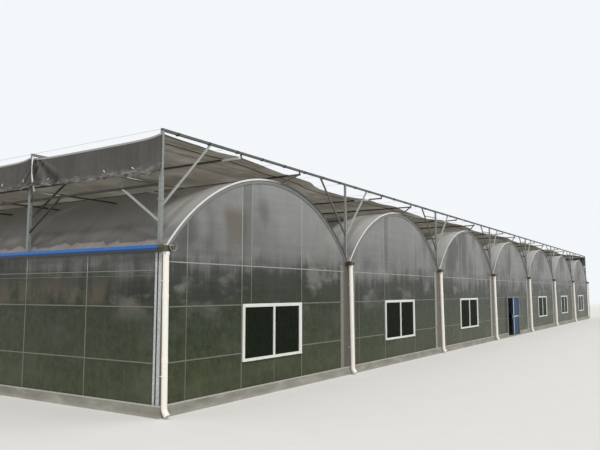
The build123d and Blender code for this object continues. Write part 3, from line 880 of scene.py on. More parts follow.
    def build(self) -> Material:
        """Makes the material: tones by height, shaded, with the other layers over them.

        Returns:
            The material.
        """
        g = ShaderGraph(self.name)
        level = self.level(g)
        along = g.maths("ADD", g.axis("X"), g.axis("Y"))
        rib = g.maths("SINE", g.times(along, 2 * math.pi / self.ribs))
        blotch = g.noise(g.place((2.2, 2.2, 1.2)), 2.1, 6, 0.6)
        tone = g.shaded(g.by_level(level, self.levels, self.top), self.shade(g, rib, blotch))
        tone = self.leaves(g, tone, level)
        cloud = g.noise(g.place((1, 1, 1.6)), 1.7, 7, 0.6)
        # Painted sheen in clouds, faint low down and stronger from about 1.1 up.
        middle = g.line(g.between(g.axis("Z"), 0.8, 1.1), 0.36, 0.06)
        tone = g.lay(tone, self.painted_sheen, g.between(cloud, 0.52, 0.68), middle)
        tone = self.gables(g, self.side_walls(g, tone, blotch))
        g.bump(rib, 0.12, 0.0008)
        rough = g.line(cloud, 0.3, 0.14)
        return g.dress(base_color=tone, roughness=rough, specular_ior_level=0.12, alpha=0.9)


@dataclass(frozen=True)
class RoofSheet:
    """Curved sheet under the net: grey-brown with runs and dusty patches, a painted sheen along the
    eaves and painted light along the gables.
    """

    name: str = "Roof sheet"
    # Tones by height: the pale band along the eaves is a painted sheen; above it the roof is darker
    # low down and lighter high up, painted to even out the light, which falls more on the steep
    # lower slope and less under the net.
    levels: Levels = (
        (1.5, (0.275, 0.245, 0.228)),
        (1.58, (0.25, 0.224, 0.209)),
        (1.595, (0.115, 0.113, 0.107)),
        (1.7, (0.16, 0.157, 0.149)),
        (1.8, (0.3, 0.294, 0.278)),
        (2.1, (0.4, 0.394, 0.372)),
        (2.36, (0.42, 0.413, 0.39)),
    )
    dust_and_light: Colour = (0.46, 0.455, 0.435)

    def build(self) -> Material:
        """Makes the material: tones by ragged height times runs, then painted light along the
        gables and dusty patches.

        Returns:
            The material.
        """
        g = ShaderGraph(self.name)
        ragged = g.noise(g.place((3, 3, 1)), 2.2, 7, 0.6)
        level = g.line(ragged, -0.16, g.maths("ADD", g.axis("Z"), 0.08))
        runs = g.noise(g.place((0.9, 9, 0.9)), 1.6, 8, 0.62)
        tone = g.by_level(level, self.levels, self.levels[-1][0])
        tone = g.shaded(tone, g.line(runs, 0.7, 0.65))
        # Lighter along the gables, where the net's shadow ends: painted light.
        depth = g.line(runs, 0.5, g.off_middle("Y"))
        tone = g.lay(tone, self.dust_and_light, g.between(depth, 3.8, 4.4), 0.35)
        cloud = g.noise(g.place(), 1.4, 6)
        tone = g.lay(tone, self.dust_and_light, g.between(cloud, 0.55, 0.78), 0.25)
        g.bump(runs, 0.15, 0.004)
        rough = g.line(runs, 0.3, 0.2)
        return g.dress(base_color=tone, roughness=rough, specular_ior_level=0.4, alpha=0.96)


@dataclass(frozen=True)
class Glass:
    """Dark window pane with green streaks behind it."""

    name: str = "Window glass"
    tone: Colour = (0.011, 0.015, 0.0105)
    streak: Colour = (0.032, 0.045, 0.02)

    def build(self) -> Material:
        """Makes the material: the tone, and streaks by upright noise.

        Returns:
            The material.
        """
        g = ShaderGraph(self.name)
        runs = g.noise(g.place((40, 40, 6)), 1.5, 8, 0.7)
        tone = g.mix(g.between(runs, 0.48, 0.75), self.tone, self.streak)
        g.bump(runs, 0.02, 0.001)
        rough = g.line(runs, 0.06, 0.03)
        return g.dress(base_color=tone, roughness=rough, specular_ior_level=0.003)


@dataclass(frozen=True)
class Gutter:
    """Stained zinc channel: dark olive below, partly painted shade, with a painted highlight on the
    rim.
    """

    name: str = "Gutter steel"
    stain: Colour = (0.05, 0.046, 0.026)
    zinc: Colour = (0.12, 0.115, 0.08)
    rim: Colour = (0.55, 0.55, 0.48)
    dull: Colour = (0.075, 0.076, 0.066)

    def build(self) -> Material:
        """Makes the material: stain and zinc by noise, dull behind the walls, and a painted
        highlight on the rim.

        Returns:
            The material.
        """
        g = ShaderGraph(self.name)
        runs = g.noise(g.place((8, 4, 2)), 2.0, 7, 0.6)
        # Dark olive stain and zinc by noise, partly painted shade.
        tone = g.mix(g.between(runs, 0.4, 0.7), self.stain, self.zinc)
        wall, top = -PLAN.y_front, PLAN.gutter_top
        tone = g.mix(g.between(g.off_middle("Y"), wall + 0.02, wall - 0.02), tone, self.dull)
        # Painted highlight along the top rim.
        tone = g.mix(g.between(g.axis("Z"), top - 0.008, top - 0.004), tone, self.rim)
        g.bump(runs, 0.15, 0.002)
        return g.dress(base_color=tone, metallic=0.3, roughness=0.5)


@dataclass(frozen=True)
class Cloth:
    """Knitted shade net: fine courses, faded and rusty patches, painted highlights on the creases
    of the hem, and painted shade of the folds by the posts.
    """

    name: str = "Shade cloth"
    tone: Colour = (0.225, 0.213, 0.19)
    faded: Colour = (0.3, 0.288, 0.264)
    rust: Colour = (0.3, 0.2, 0.14)
    crease_highlight: Colour = (0.34, 0.33, 0.305)
    grain: Colour = (0.3, 9, 1)
    course: float = 0.006
    passed: float = 0.7
    glow: float = 1.75
    hem: float = 9.0
    fold_shading: float = 0.0
    fan_top: float = 2.57
    fan_shift: float = 0.045
    fan_squeeze: float = 0.55
    fan_first: float = 0.375
    fan_turn: float = 0.47

    def fan(self, g: ShaderGraph) -> Socket:
        """Painted shadows and highlights of folds that fan out from the top of each inner post.

        The change of tone is a cosine of the angle at the top, and it fades
        with the distance from there and towards the level.

        Args:
            g: Nodes of the material.

        Returns:
            What the painted fold shadows and highlights add to the shade.
        """
        beside = g.maths("FRACT", g.line(g.axis("Y"), -1 / PLAN.bay, -self.fan_shift))
        beside = g.times(beside, PLAN.bay)
        below = g.maths("SUBTRACT", self.fan_top, g.axis("Z"))
        angle = g.maths("ARCTAN2", g.times(beside, self.fan_squeeze), below)
        from_fold = g.maths("SUBTRACT", angle, self.fan_first)
        fold = g.maths("COSINE", g.times(from_fold, 2 * math.pi / self.fan_turn))
        fade = g.times(g.between(beside, 0.62, 0.35), g.between(angle, 0.95, 0.7))
        return g.times(fold, g.times(fade, self.fold_shading))

    def shade(self, g: ShaderGraph) -> Socket:
        """Grey shade: bands along the grain, less light over the left end, and the painted shadows
        and highlights of the fanning folds.

        Args:
            g: Nodes of the material.

        Returns:
            A factor for the tone, about 1.
        """
        bands = g.noise(g.place(self.grain, uv=True), 1.6, 6, 0.65)
        behind = g.between(g.axis("Y"), -3.2, -2.2)
        corner = g.times(g.between(g.axis("X"), -9.5, -11.0), behind)
        shade = g.line(corner, -0.12, g.line(bands, 0.9, 0.55))
        return g.maths("ADD", shade, self.fan(g)) if self.fold_shading else shade

    def knit(self, g: ShaderGraph) -> Socket:
        """Height of the stitches: a sine across times a sine along, one turn for each course."""
        turn = 2 * math.pi / self.course
        return g.times(*(g.maths("SINE", g.times(g.axis(way, uv=True), turn)) for way in "XY"))

    def build(self) -> Material:
        """Makes the material: a cloth surface mixed with light that passes through it.

        Returns:
            The material.
        """
        g = ShaderGraph(self.name)
        cloud = g.noise(g.place(uv=True), 1.6, 8, 0.6)
        tone = g.mix(g.between(cloud, 0.38, 0.72), self.tone, self.faded)
        tone = g.shaded(tone, self.shade(g))
        # Painted highlights on the creases near the hem.
        creases = g.between(g.noise(g.place((6, 15, 1), uv=True), 1.5, 6, 0.65), 0.44, 0.62)
        lowest = g.between(g.axis("Y", uv=True), self.hem - 0.06, self.hem + 0.02)
        tone = g.lay(tone, self.crease_highlight, creases, g.times(lowest, 0.9))
        rust = g.noise(g.place((1.2, 3, 1), uv=True), 0.9, 6, 0.6)
        tone = g.lay(tone, self.rust, g.between(rust, 0.62, 0.78), 0.4)
        g.bump(self.knit(g), 0.25, 0.001)
        g.dress(base_color=tone, roughness=0.85, specular_ior_level=0.15)
        g.dress(sheen_weight=0.15, sheen_roughness=0.6)
        bright = g.mix(1.0, tone, (self.glow, self.glow, self.glow), "MULTIPLY")
        through = g.add("BsdfTranslucent", {"Color": bright})
        parts = {0: self.passed, 1: g.surface.outputs[0], 2: through.outputs[0]}
        return g.show(g.add("MixShader", parts))


# Wall tones by height: dark green low down for the plants behind the sheet, and lighter grey in the
# gables, painted light for the lit roof seen through the sheet.
WALL_LEVELS: Levels = (
    (0.1, (0.084, 0.091, 0.045)),
    (0.35, (0.052, 0.063, 0.03)),
    (0.8, (0.038, 0.045, 0.03)),
    (1.05, (0.046, 0.052, 0.042)),
    (1.24, (0.062, 0.066, 0.056)),
    (1.42, (0.17, 0.174, 0.167)),
    (1.9, (0.24, 0.247, 0.243)),
    (2.35, (0.27, 0.278, 0.276)),
)


class Finishes:
    """The materials, one for each slot and a few more for small pieces."""

    def __init__(self) -> None:
        """Builds them all."""
        self.by_slot: dict[Slot, Material] = {
            Slot.KERB: Concrete().build(),
            Slot.FRAME: Metal("Galvanised frame", (0.4, 0.42, 0.39)).build(),
            Slot.GUTTER: Gutter().build(),
            Slot.ROOF: RoofSheet().build(),
            Slot.WALL: WallSheet("Wall sheet", WALL_LEVELS).build(),
            Slot.ARCH: Metal(
                "Arch aluminium", (0.78, 0.78, 0.76), dirty=0.15, roughness=0.3
            ).build(),
            Slot.CORNER: Metal(
                "Corner aluminium", (0.5, 0.52, 0.52), metallic=0.15, roughness=0.5
            ).build(),
            Slot.STRIP: Plastic(
                "Blue strip", (0.028, 0.135, 0.4), (0.1, 0.2, 0.4), ends=(0.085, 0.085, 0.05)
            ).build(),
            Slot.WINDOW: Plastic("White frame", (0.74, 0.75, 0.71), (0.4, 0.4, 0.33)).build(),
            Slot.GLASS: Glass().build(),
            Slot.DOOR: Plastic(
                "Blue door", (0.018, 0.062, 0.135), (0.03, 0.06, 0.09), specular=0.04
            ).build(),
            Slot.PIPE: Plastic(
                "White pipe", (0.88, 0.84, 0.76), (0.62, 0.58, 0.48), grimy=0.2, specular=0.2
            ).build(),
            Slot.SHADE: Metal("Shade steel", (0.27, 0.29, 0.28), crystal=90).build(),
            Slot.CLOTH: Cloth().build(),
        }
        self.cover = TwoTonePart(
            "Cover strip", Where.HIGH_UP, (0.35, 0.35, 0.32), (0.18, 0.18, 0.148)
        ).build()
        # Lit faces of the columns seen through the sheet: painted light, lighter beyond the first
        # two spans; the gutter hooks take it too.
        self.pale = TwoTonePart(
            "Pale edge strip", Where.FAR_LINES, (0.42, 0.415, 0.385), (0.22, 0.215, 0.19)
        ).build()
        # Gable arches: a little lighter on the left half of each span as painted light, a little
        # darker on the right half as painted shade.
        self.gable = TwoTonePart(
            "Gable arch", Where.LEFT_HALVES, (0.22, 0.222, 0.215), (0.19, 0.19, 0.18)
        ).build()
        # Dark tone for the shaded faces of the columns seen through the sheet and for the front
        # legs of the corners: painted shade, lighter beyond the first two spans; the door frame
        # takes it too.
        self.column = TwoTonePart(
            "Column cover", Where.FAR_LINES, (0.2, 0.197, 0.18), (0.128, 0.123, 0.104)
        ).build()
        # Beams: the darker tone is painted shade; the second rows from the gables keep the lighter
        # tone.
        self.beam = TwoTonePart(
            "Beam steel", Where.SECOND_ROWS, (0.26, 0.26, 0.26), (0.1, 0.112, 0.108)
        ).build()
        # Roof edging: a painted highlight on the left half of each arch and painted shade on the
        # right half.
        self.lip = TwoTonePart(
            "Edging lip", Where.LEFT_HALVES, (0.78, 0.78, 0.76), (0.06, 0.06, 0.055)
        ).build()
        # Side ties: painted light next to the gables, painted shade elsewhere.
        self.lower = TwoTonePart(
            "Side tie", Where.BY_GABLES, (0.24, 0.24, 0.22), (0.08, 0.078, 0.07)
        ).build()
        # V braces: painted light on the right arms, painted shade on the left arms.
        self.brace = TwoTonePart("Brace steel", Where.RIGHT_ARMS).build()
        # Knee braces: painted light next to the gables, deep painted shade elsewhere.
        self.knee = TwoTonePart("Knee steel", Where.BY_GABLES, darker=(0.056, 0.058, 0.053)).build()
        # Nearly black steel for the lower tubes, hangers, beam clips and arm ties: painted shade.
        self.shaded = Metal(
            "Steel in painted shade", (0.035, 0.036, 0.032), metallic=0.0, dirty=0.1
        ).build()
        # Darker steel for the upper tubes and the inner braces under the net: painted shade.
        self.tube = Metal("Tube steel in painted shade", (0.11, 0.105, 0.093), metallic=0.1, dirty=0.3).build()
        self.wire = Metal("Wire", (0.3, 0.31, 0.32), roughness=0.35).build()
        self.valance = Cloth(
            "Valance cloth", (0.112, 0.106, 0.094), (0.152, 0.145, 0.132), (0.16, 0.12, 0.09),
            grain=(11, 0.9, 1), passed=0.35, glow=1.0, hem=0.3, fold_shading=0.5,
        ).build()
        self.cord = Plastic(
            "Edge cord", (0.1, 0.066, 0.044), (0.06, 0.045, 0.035), roughness=0.7, specular=0.1
        ).build()
        self.seam = Plastic(
            "Cloth seam", (0.36, 0.355, 0.34), (0.2, 0.19, 0.17), roughness=0.8, specular=0.1
        ).build()
        # White boxes on the tube ends outside the net: a painted highlight for the sunlit steel.
        self.lit_tube_end = Plastic(
            "Painted sunlit tube end", (0.93, 0.92, 0.88), (0.8, 0.78, 0.72), grimy=0.1
        ).build()
        # Darker blue below the eave strips: painted shade on their lower half.
        self.shaded_film = Plastic(
            "Blue film in painted shade", (0.012, 0.07, 0.27), (0.03, 0.09, 0.24), roughness=0.5, specular=0.2
        ).build()
        # Darker blue for the left door leaf behind the right one: painted shade.
        self.shaded_leaf = Plastic(
            "Door leaf in painted shade", (0.012, 0.035, 0.09), (0.02, 0.04, 0.07), specular=0.15
        ).build()
        # Black seals beside the corner strips and on the left door leaf; their black is also
        # painted shade in the slots there.
        self.seal_and_shade = Plastic("Rubber seal and painted shade", (0.02, 0.02, 0.022), (0.05, 0.05, 0.045)).build()

    def paint(self, piece: bpy.types.Object, material: Material) -> None:
        """Puts a material in every slot of a piece.

        Args:
            piece: A solid or a new piece, with or without slots.
            material: The finish.
        """
        if not piece.material_slots:
            piece.data.materials.append(material)
        for slot in piece.material_slots:
            slot.material = material

    def paint_solids(self) -> None:
        """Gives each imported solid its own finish, or the one that the record names for it."""
        named = {row["node"]: row["material_slot"] for row in frame["record"]["subparts"]}
        # Own finishes for some solids; most of them carry painted light and shade by place.
        own = {
            "shade_beams": self.beam,
            "shade_lower_tubes": self.shaded,
            "shade_upper_tubes": self.tube,
            "shade_tube_hangers": self.shaded,
            "shade_side_ties": self.lower,
            "shade_knee_braces": self.knee,
            "front_shade_braces": self.brace,
            "back_shade_braces": self.brace,
            "inner_shade_braces": self.tube,
            "front_gable_arches": self.gable,
            "back_gable_arches": self.gable,
            "door_frame": self.column,
            "door_leaf_left": self.shaded_leaf,
        }
        for node, piece in frame["nodes"].items():
            self.paint(piece, own.get(node, self.by_slot[Slot(named[node])]))
        LOG.info("painted %d solids", len(frame["nodes"]))


def stand(name: str, data: bpy.types.ID) -> bpy.types.Object:
    """Puts a camera, lamp or mesh in the scene.

    Args:
        name: Name of the new object.
        data: What it shows.

    Returns:
        The object, at the origin.
    """
    thing = bpy.data.objects.new(name, data)
    bpy.context.scene.collection.objects.link(thing)
    return thing


@dataclass
class Workshop:
    """Turns shapes into named pieces that ride on a body."""

    finishes: Finishes
    sharp: float = math.radians(38)
    made: list[str] = field(default_factory=list)

    def piece(
        self,
        name: str,
        shape: Shape,
        material: Material,
        slot: Slot,
        body: Body = Body.GREENHOUSE,
        uv: np.ndarray | None = None,
    ) -> bpy.types.Object:
        """Makes one piece.

        Args:
            name: Its plain name.
            shape: Vertices and faces.
            material: Its finish.
            slot: The record's slot for the finish; not used.
            body: What it moves with.
            uv: A pair of numbers for each vertex, or none.

        Returns:
            The piece, at the origin and riding on its body.
        """
        vertices, faces = shape
        mesh = bpy.data.meshes.new(name)
        mesh.from_pydata(vertices.tolist(), [], faces)
        mesh.polygons.foreach_set("use_smooth", np.ones(len(mesh.polygons), bool))
        mesh.set_sharp_from_angle(angle=self.sharp)
        if uv is not None:
            corner = np.zeros(len(mesh.loops), np.int32)
            mesh.loops.foreach_get("vertex_index", corner)
            layer = mesh.uv_layers.new(name="UVMap")
            layer.data.foreach_set("uv", uv[corner].astype(np.float32).ravel())
        piece = stand(name, mesh)
        self.finishes.paint(piece, material)
        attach(piece, body.value)
        self.made.append(name)
        LOG.info("%s: %d faces", name, len(faces))
        return piece


def edge_sag(y: np.ndarray, deepest: float = 0.032, reach: float = 0.12) -> np.ndarray:
    """How far the side edge of the net hangs between the posts.

    Args:
        y: Places along the edge.
        deepest: Sag far from any post.
        reach: How fast the edge drops beside a post.

    Returns:
        The deepest sag times one less the exponential of minus distance over reach.
    """
    nearest = np.abs(y[..., None] - PLAN.rows).min(-1)
    return deepest * (1 - np.exp(-nearest / reach))


@dataclass
class ShadeNet:
    """Roof net in one length for each bay, hung in shallow troughs over its tubes."""

    shop: Workshop
    setback: float = 0.004
    sag: float = 0.008
    scallop: float = 0.012
    lift: float = 0.0045
    columns: int = 620
    steps: int = 30
    cord_radius: float = 0.0045
    cord_drop: float = 0.006
    cord_step: int = 3
    drawn_back: tuple[tuple[float, float], ...] = (
        (0.0, 0.0), (0.5, 0.012), (0.82, 0.055), (1.18, 0.03), (1.67, 0.075), (2.25, 0.195),
        (2.79, 0.135), (3.56, 0.265), (4.6, 0.275), (6.0, 0.25),
    )

    def front_edge(self, x: np.ndarray) -> np.ndarray:
        """How far the outermost edge is drawn back from its beam.

        Args:
            x: Places along the edge.

        Returns:
            The given points read at the distance from the nearer end, plus waves.
        """
        reach, back = np.array(self.drawn_back).T
        distance = -PLAN.x_left - np.abs(x)
        loose = np.clip(distance / 3.0, 0, 1)
        return np.interp(distance, reach, back) + 0.028 * loose * waves(x, 0 * x, 40, (0.4, 1.4))

    def supports(self) -> np.ndarray:
        """Places that hold the net.

        Returns:
            X of the two edges and of every tube between them.
        """
        edge = PLAN.x_left - PLAN.post_upper / 2
        tubes = np.add.outer(PLAN.centres, [-PLAN.mullion, PLAN.mullion]).ravel()
        return np.concatenate([[edge], tubes, [-edge]])

    def surface(self, bay: int) -> np.ndarray:
        """Points of the net of one bay, from left to right and from its near to its far edge.

        The level is that of the tubes, less a parabola between two tubes that
        is as deep as the sag times the gap squared, plus small waves. The long
        edges lie under the beams, except the outermost, which has slipped back.

        Args:
            bay: Bay number from the door facade.

        Returns:
            Points shaped (column, step, 3).
        """
        supports = self.supports()
        x = np.linspace(supports[0], supports[-1], self.columns)[:, None]
        v = np.linspace(0, 1, self.steps)[None]
        cell = np.clip(np.searchsorted(supports, x, "right") - 1, 0, len(supports) - 2)
        gap = supports[cell + 1] - supports[cell]
        hollow = 4 * (x - supports[cell]) * (supports[cell + 1] - x) / gap**2
        near, far = PLAN.rows[bay] + self.setback, PLAN.rows[bay + 1] - self.setback
        wobble = self.scallop * hollow * np.abs(waves(x, 0 * x, 50 + bay, (0.5, 1.6)))
        outer = self.front_edge(x) - self.setback
        start = near + (outer if bay == 0 else wobble)
        end = far - (outer[::-1] if bay == PLAN.bays - 1 else wobble)
        y = start + v * (end - start)
        edge = 1 - np.minimum(v, 1 - v) * 2
        drop = self.sag * gap**2 * hollow * (0.8 + 0.4 * edge**3)
        ripple = 0.004 * waves(x, y, 11 + bay, (0.35, 1.3)) * np.minimum(1, hollow * 3)
        beside = np.clip(1 - (-PLAN.x_left - np.abs(x)) / 0.5, 0, 1) ** 2
        z = PLAN.tube_top + self.lift - drop + ripple - beside * edge_sag(y)
        return xyz(x, y, z)

    def length_of_cloth(self, bay: int) -> None:
        """Makes the net of one bay, and the cord in its outermost edge.

        Args:
            bay: Bay number from the door facade.
        """
        points = self.surface(bay)
        finishes = self.shop.finishes
        cloth = finishes.by_slot[Slot.CLOTH]
        uv = points[..., :2].reshape(-1, 2)
        net = self.shop.piece(f"shade_net_{bay + 1}", grid(points), cloth, Slot.CLOTH, uv=uv)
        thicken(net)
        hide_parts("shade_net")
        if bay in (0, PLAN.bays - 1):
            step = self.cord_step if bay == 0 else -1 - self.cord_step
            inside = points[None, :, step] - [0, 0, self.cord_drop]
            cord = sweep(inside, circle(self.cord_radius, 6))
            self.shop.piece(f"net_cord_{bay + 1}", cord, finishes.cord, Slot.CLOTH)

    def build(self) -> None:
        """Makes every bay's net."""
        for bay in range(PLAN.bays):
            self.length_of_cloth(bay)


def thicken(piece: bpy.types.Object, thickness: float = 0.0015) -> None:
    """Gives an open cloth surface its thickness, half on either side.

    Args:
        piece: The cloth.
        thickness: The whole thickness.
    """
    solid = piece.modifiers.new("Thickness", "SOLIDIFY")
    solid.thickness = thickness
    solid.offset = 0.0


@dataclass
class Valance:
    """Side cloth with vertical folds, a crumpled hem, small knots and loose straps."""

    shop: Workshop
    face: float = PLAN.x_left - PLAN.post_upper / 2 - 0.003
    past_rows: float = 0.017
    columns: int = 560
    steps: int = 44
    hem: tuple[tuple[float, float], ...] = (
        (0.0, 2.205), (0.08, 2.165), (0.25, 2.163), (0.5, 2.178), (0.75, 2.19), (0.97, 2.184),
        (1.2, 2.194), (1.5, 2.195), (1.8, 2.222), (2.05, 2.204), (2.5, 2.222), (3.3, 2.205),
        (4.0, 2.215),
    )
    fan_offsets: tuple[float, ...] = (0.13, 0.1, -0.12)
    knot_pitch: int = 30
    strap_top: float = 2.552
    strap_length: float = 0.385

    def surface(self) -> np.ndarray:
        """Points of the left cloth, from its near to its far edge and from top to hem.

        The distance outside the posts is a little slack that grows downwards,
        plus folds along Y, plus a crumple in the lowest fifth, and all of it is
        drawn in at the posts. By the inner posts the folds fan out from the
        top. The hem's level is read off the given points, by distance from the
        nearer end.

        Returns:
            Points shaped (column, step, 3).
        """
        rows = PLAN.rows
        end = rows[-1] + self.past_rows
        y = np.linspace(-end, end, self.columns)[:, None]
        v = np.linspace(0, 1, self.steps)[None]
        nearest = np.abs(y - rows).min(1, keepdims=True)
        free = 1 - np.exp(-((nearest / 0.16) ** 2))
        folds = waves(y, 0.3 * v, 3, (0.14, 0.6)) + 0.5 * waves(y, 0.2 * v, 4, (0.05, 0.14))
        hem = np.clip((v - 0.8) / 0.2, 0, 1)
        crumple = np.abs(waves(y, 0.6 * v, 8, (0.05, 0.18)))
        from_fans = y - rows[1:-1] + self.fan_offsets
        fan = np.exp(-((from_fans / 0.2) ** 2)).sum(1, keepdims=True)
        nearest_fan = np.abs(from_fans).argmin(1)[:, None]
        from_fan = np.take_along_axis(from_fans, nearest_fan, 1)
        pleats = fan * np.sin(24 * (from_fan + 0.12) / (0.35 + v))
        out = 0.004 + v**1.2 * (0.018 + 0.012 * folds) * (0.3 + 0.7 * free)
        out = out + 0.026 * hem * (0.35 + crumple) + 0.045 * (0.25 + v) * np.abs(pleats)
        top = PLAN.tube_top + 0.005 - edge_sag(y)
        reach, level = np.array(self.hem).T
        low = np.interp(end - np.abs(y), reach, level)
        low = low + 0.006 * waves(y, 0 * y, 21, (0.08, 0.5))
        z = top + (low - top) * v + 0.01 * hem**2 * crumple
        return xyz(self.face - np.clip(out, 0.001, 0.07), y, z)

    def build(self) -> None:
        """Makes both valances with their seams, knots and straps."""
        points = self.surface()
        finish = self.shop.finishes.valance
        below = points[:, :1, 2] - points[..., 2]
        uv = np.stack([points[..., 1], below], -1).reshape(-1, 2)
        left = grid(points)
        for side, shape in (("left", left), ("right", at_right(left))):
            cloth = self.shop.piece(f"{side}_valance_cloth", shape, finish, Slot.CLOTH, uv=uv)
            thicken(cloth)
            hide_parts(f"{side}_valance")
        white = self.shop.finishes.by_slot[Slot.WINDOW]
        self.on_both_sides("seams", self.seam(points), self.shop.finishes.seam, Slot.CLOTH)
        self.on_both_sides("ties", self.knots(points), white, Slot.WINDOW)
        for strap in self.on_both_sides("straps", self.straps(), white, Slot.WINDOW):
            thicken(strap)

    def on_both_sides(
        self, name: str, shape: Shape, finish: Material, slot: Slot
    ) -> list[bpy.types.Object]:
        """Makes one fitting on the left cloth and its mirror image on the right one.

        Args:
            name: End of the pieces' names.
            shape: The left one.
            finish: Material of both.
            slot: The record's slot for the finish.

        Returns:
            Both pieces.
        """
        return [
            self.shop.piece(f"{side}_valance_{name}", own, finish, slot)
            for side, own in (("left", shape), ("right", at_right(shape)))
        ]

    def seam(self, points: np.ndarray) -> Shape:
        """Pale webbing sewn along the top edge.

        Args:
            points: Points of the cloth.

        Returns:
            A flat outline carried along the top row of points.
        """
        outline = np.array([[-0.009, -0.001], [0.009, -0.001], [0.009, 0.002], [-0.009, 0.002]])
        edge = points[None, :, 0] + [-0.002, 0, -0.011]
        return sweep(edge, outline, np.array([-1.0, 0, 0]))

    def knots(self, points: np.ndarray) -> Shape:
        """White knots on the hem, at every so many columns.

        Args:
            points: Points of the cloth.

        Returns:
            Short rods that lean by random amounts.
        """
        columns = np.arange(24, self.columns - 20, self.knot_pitch)
        rng = np.random.default_rng(5)
        at = points[columns, -12] + rng.uniform(-0.02, 0.02, (len(columns), 3)) * [0, 1, 1]
        at[:, 0] -= 0.004
        lean = rng.uniform(-0.03, 0.03, (len(columns), 3)) * [0, 1, 1] + [0, 0, 0.012]
        return rods(at - lean / 2, at + lean / 2, 0.0045, 6)

    def straps(self) -> Shape:
        """A loose strap beside each inner post.

        Returns:
            Bands whose width shrinks and grows again by a sine squared, and
            that bow outwards by a sine.
        """
        t = np.linspace(0, 1, 16)[:, None]
        side = np.array([[-0.5, 0.5]])
        width = 0.034 - 0.02 * np.sin(math.pi * np.clip(t * 1.4, 0, 1)) ** 2 - 0.008 * t
        y = -0.088 - 0.05 * t + width * side
        x = self.face - 0.036 - 0.022 * np.sin(math.pi * t)
        strap, faces = grid(xyz(x, y, self.strap_top - self.strap_length * t), turned=True)
        return joined((strap + [0, row, 0], faces) for row in PLAN.rows[1:-1])


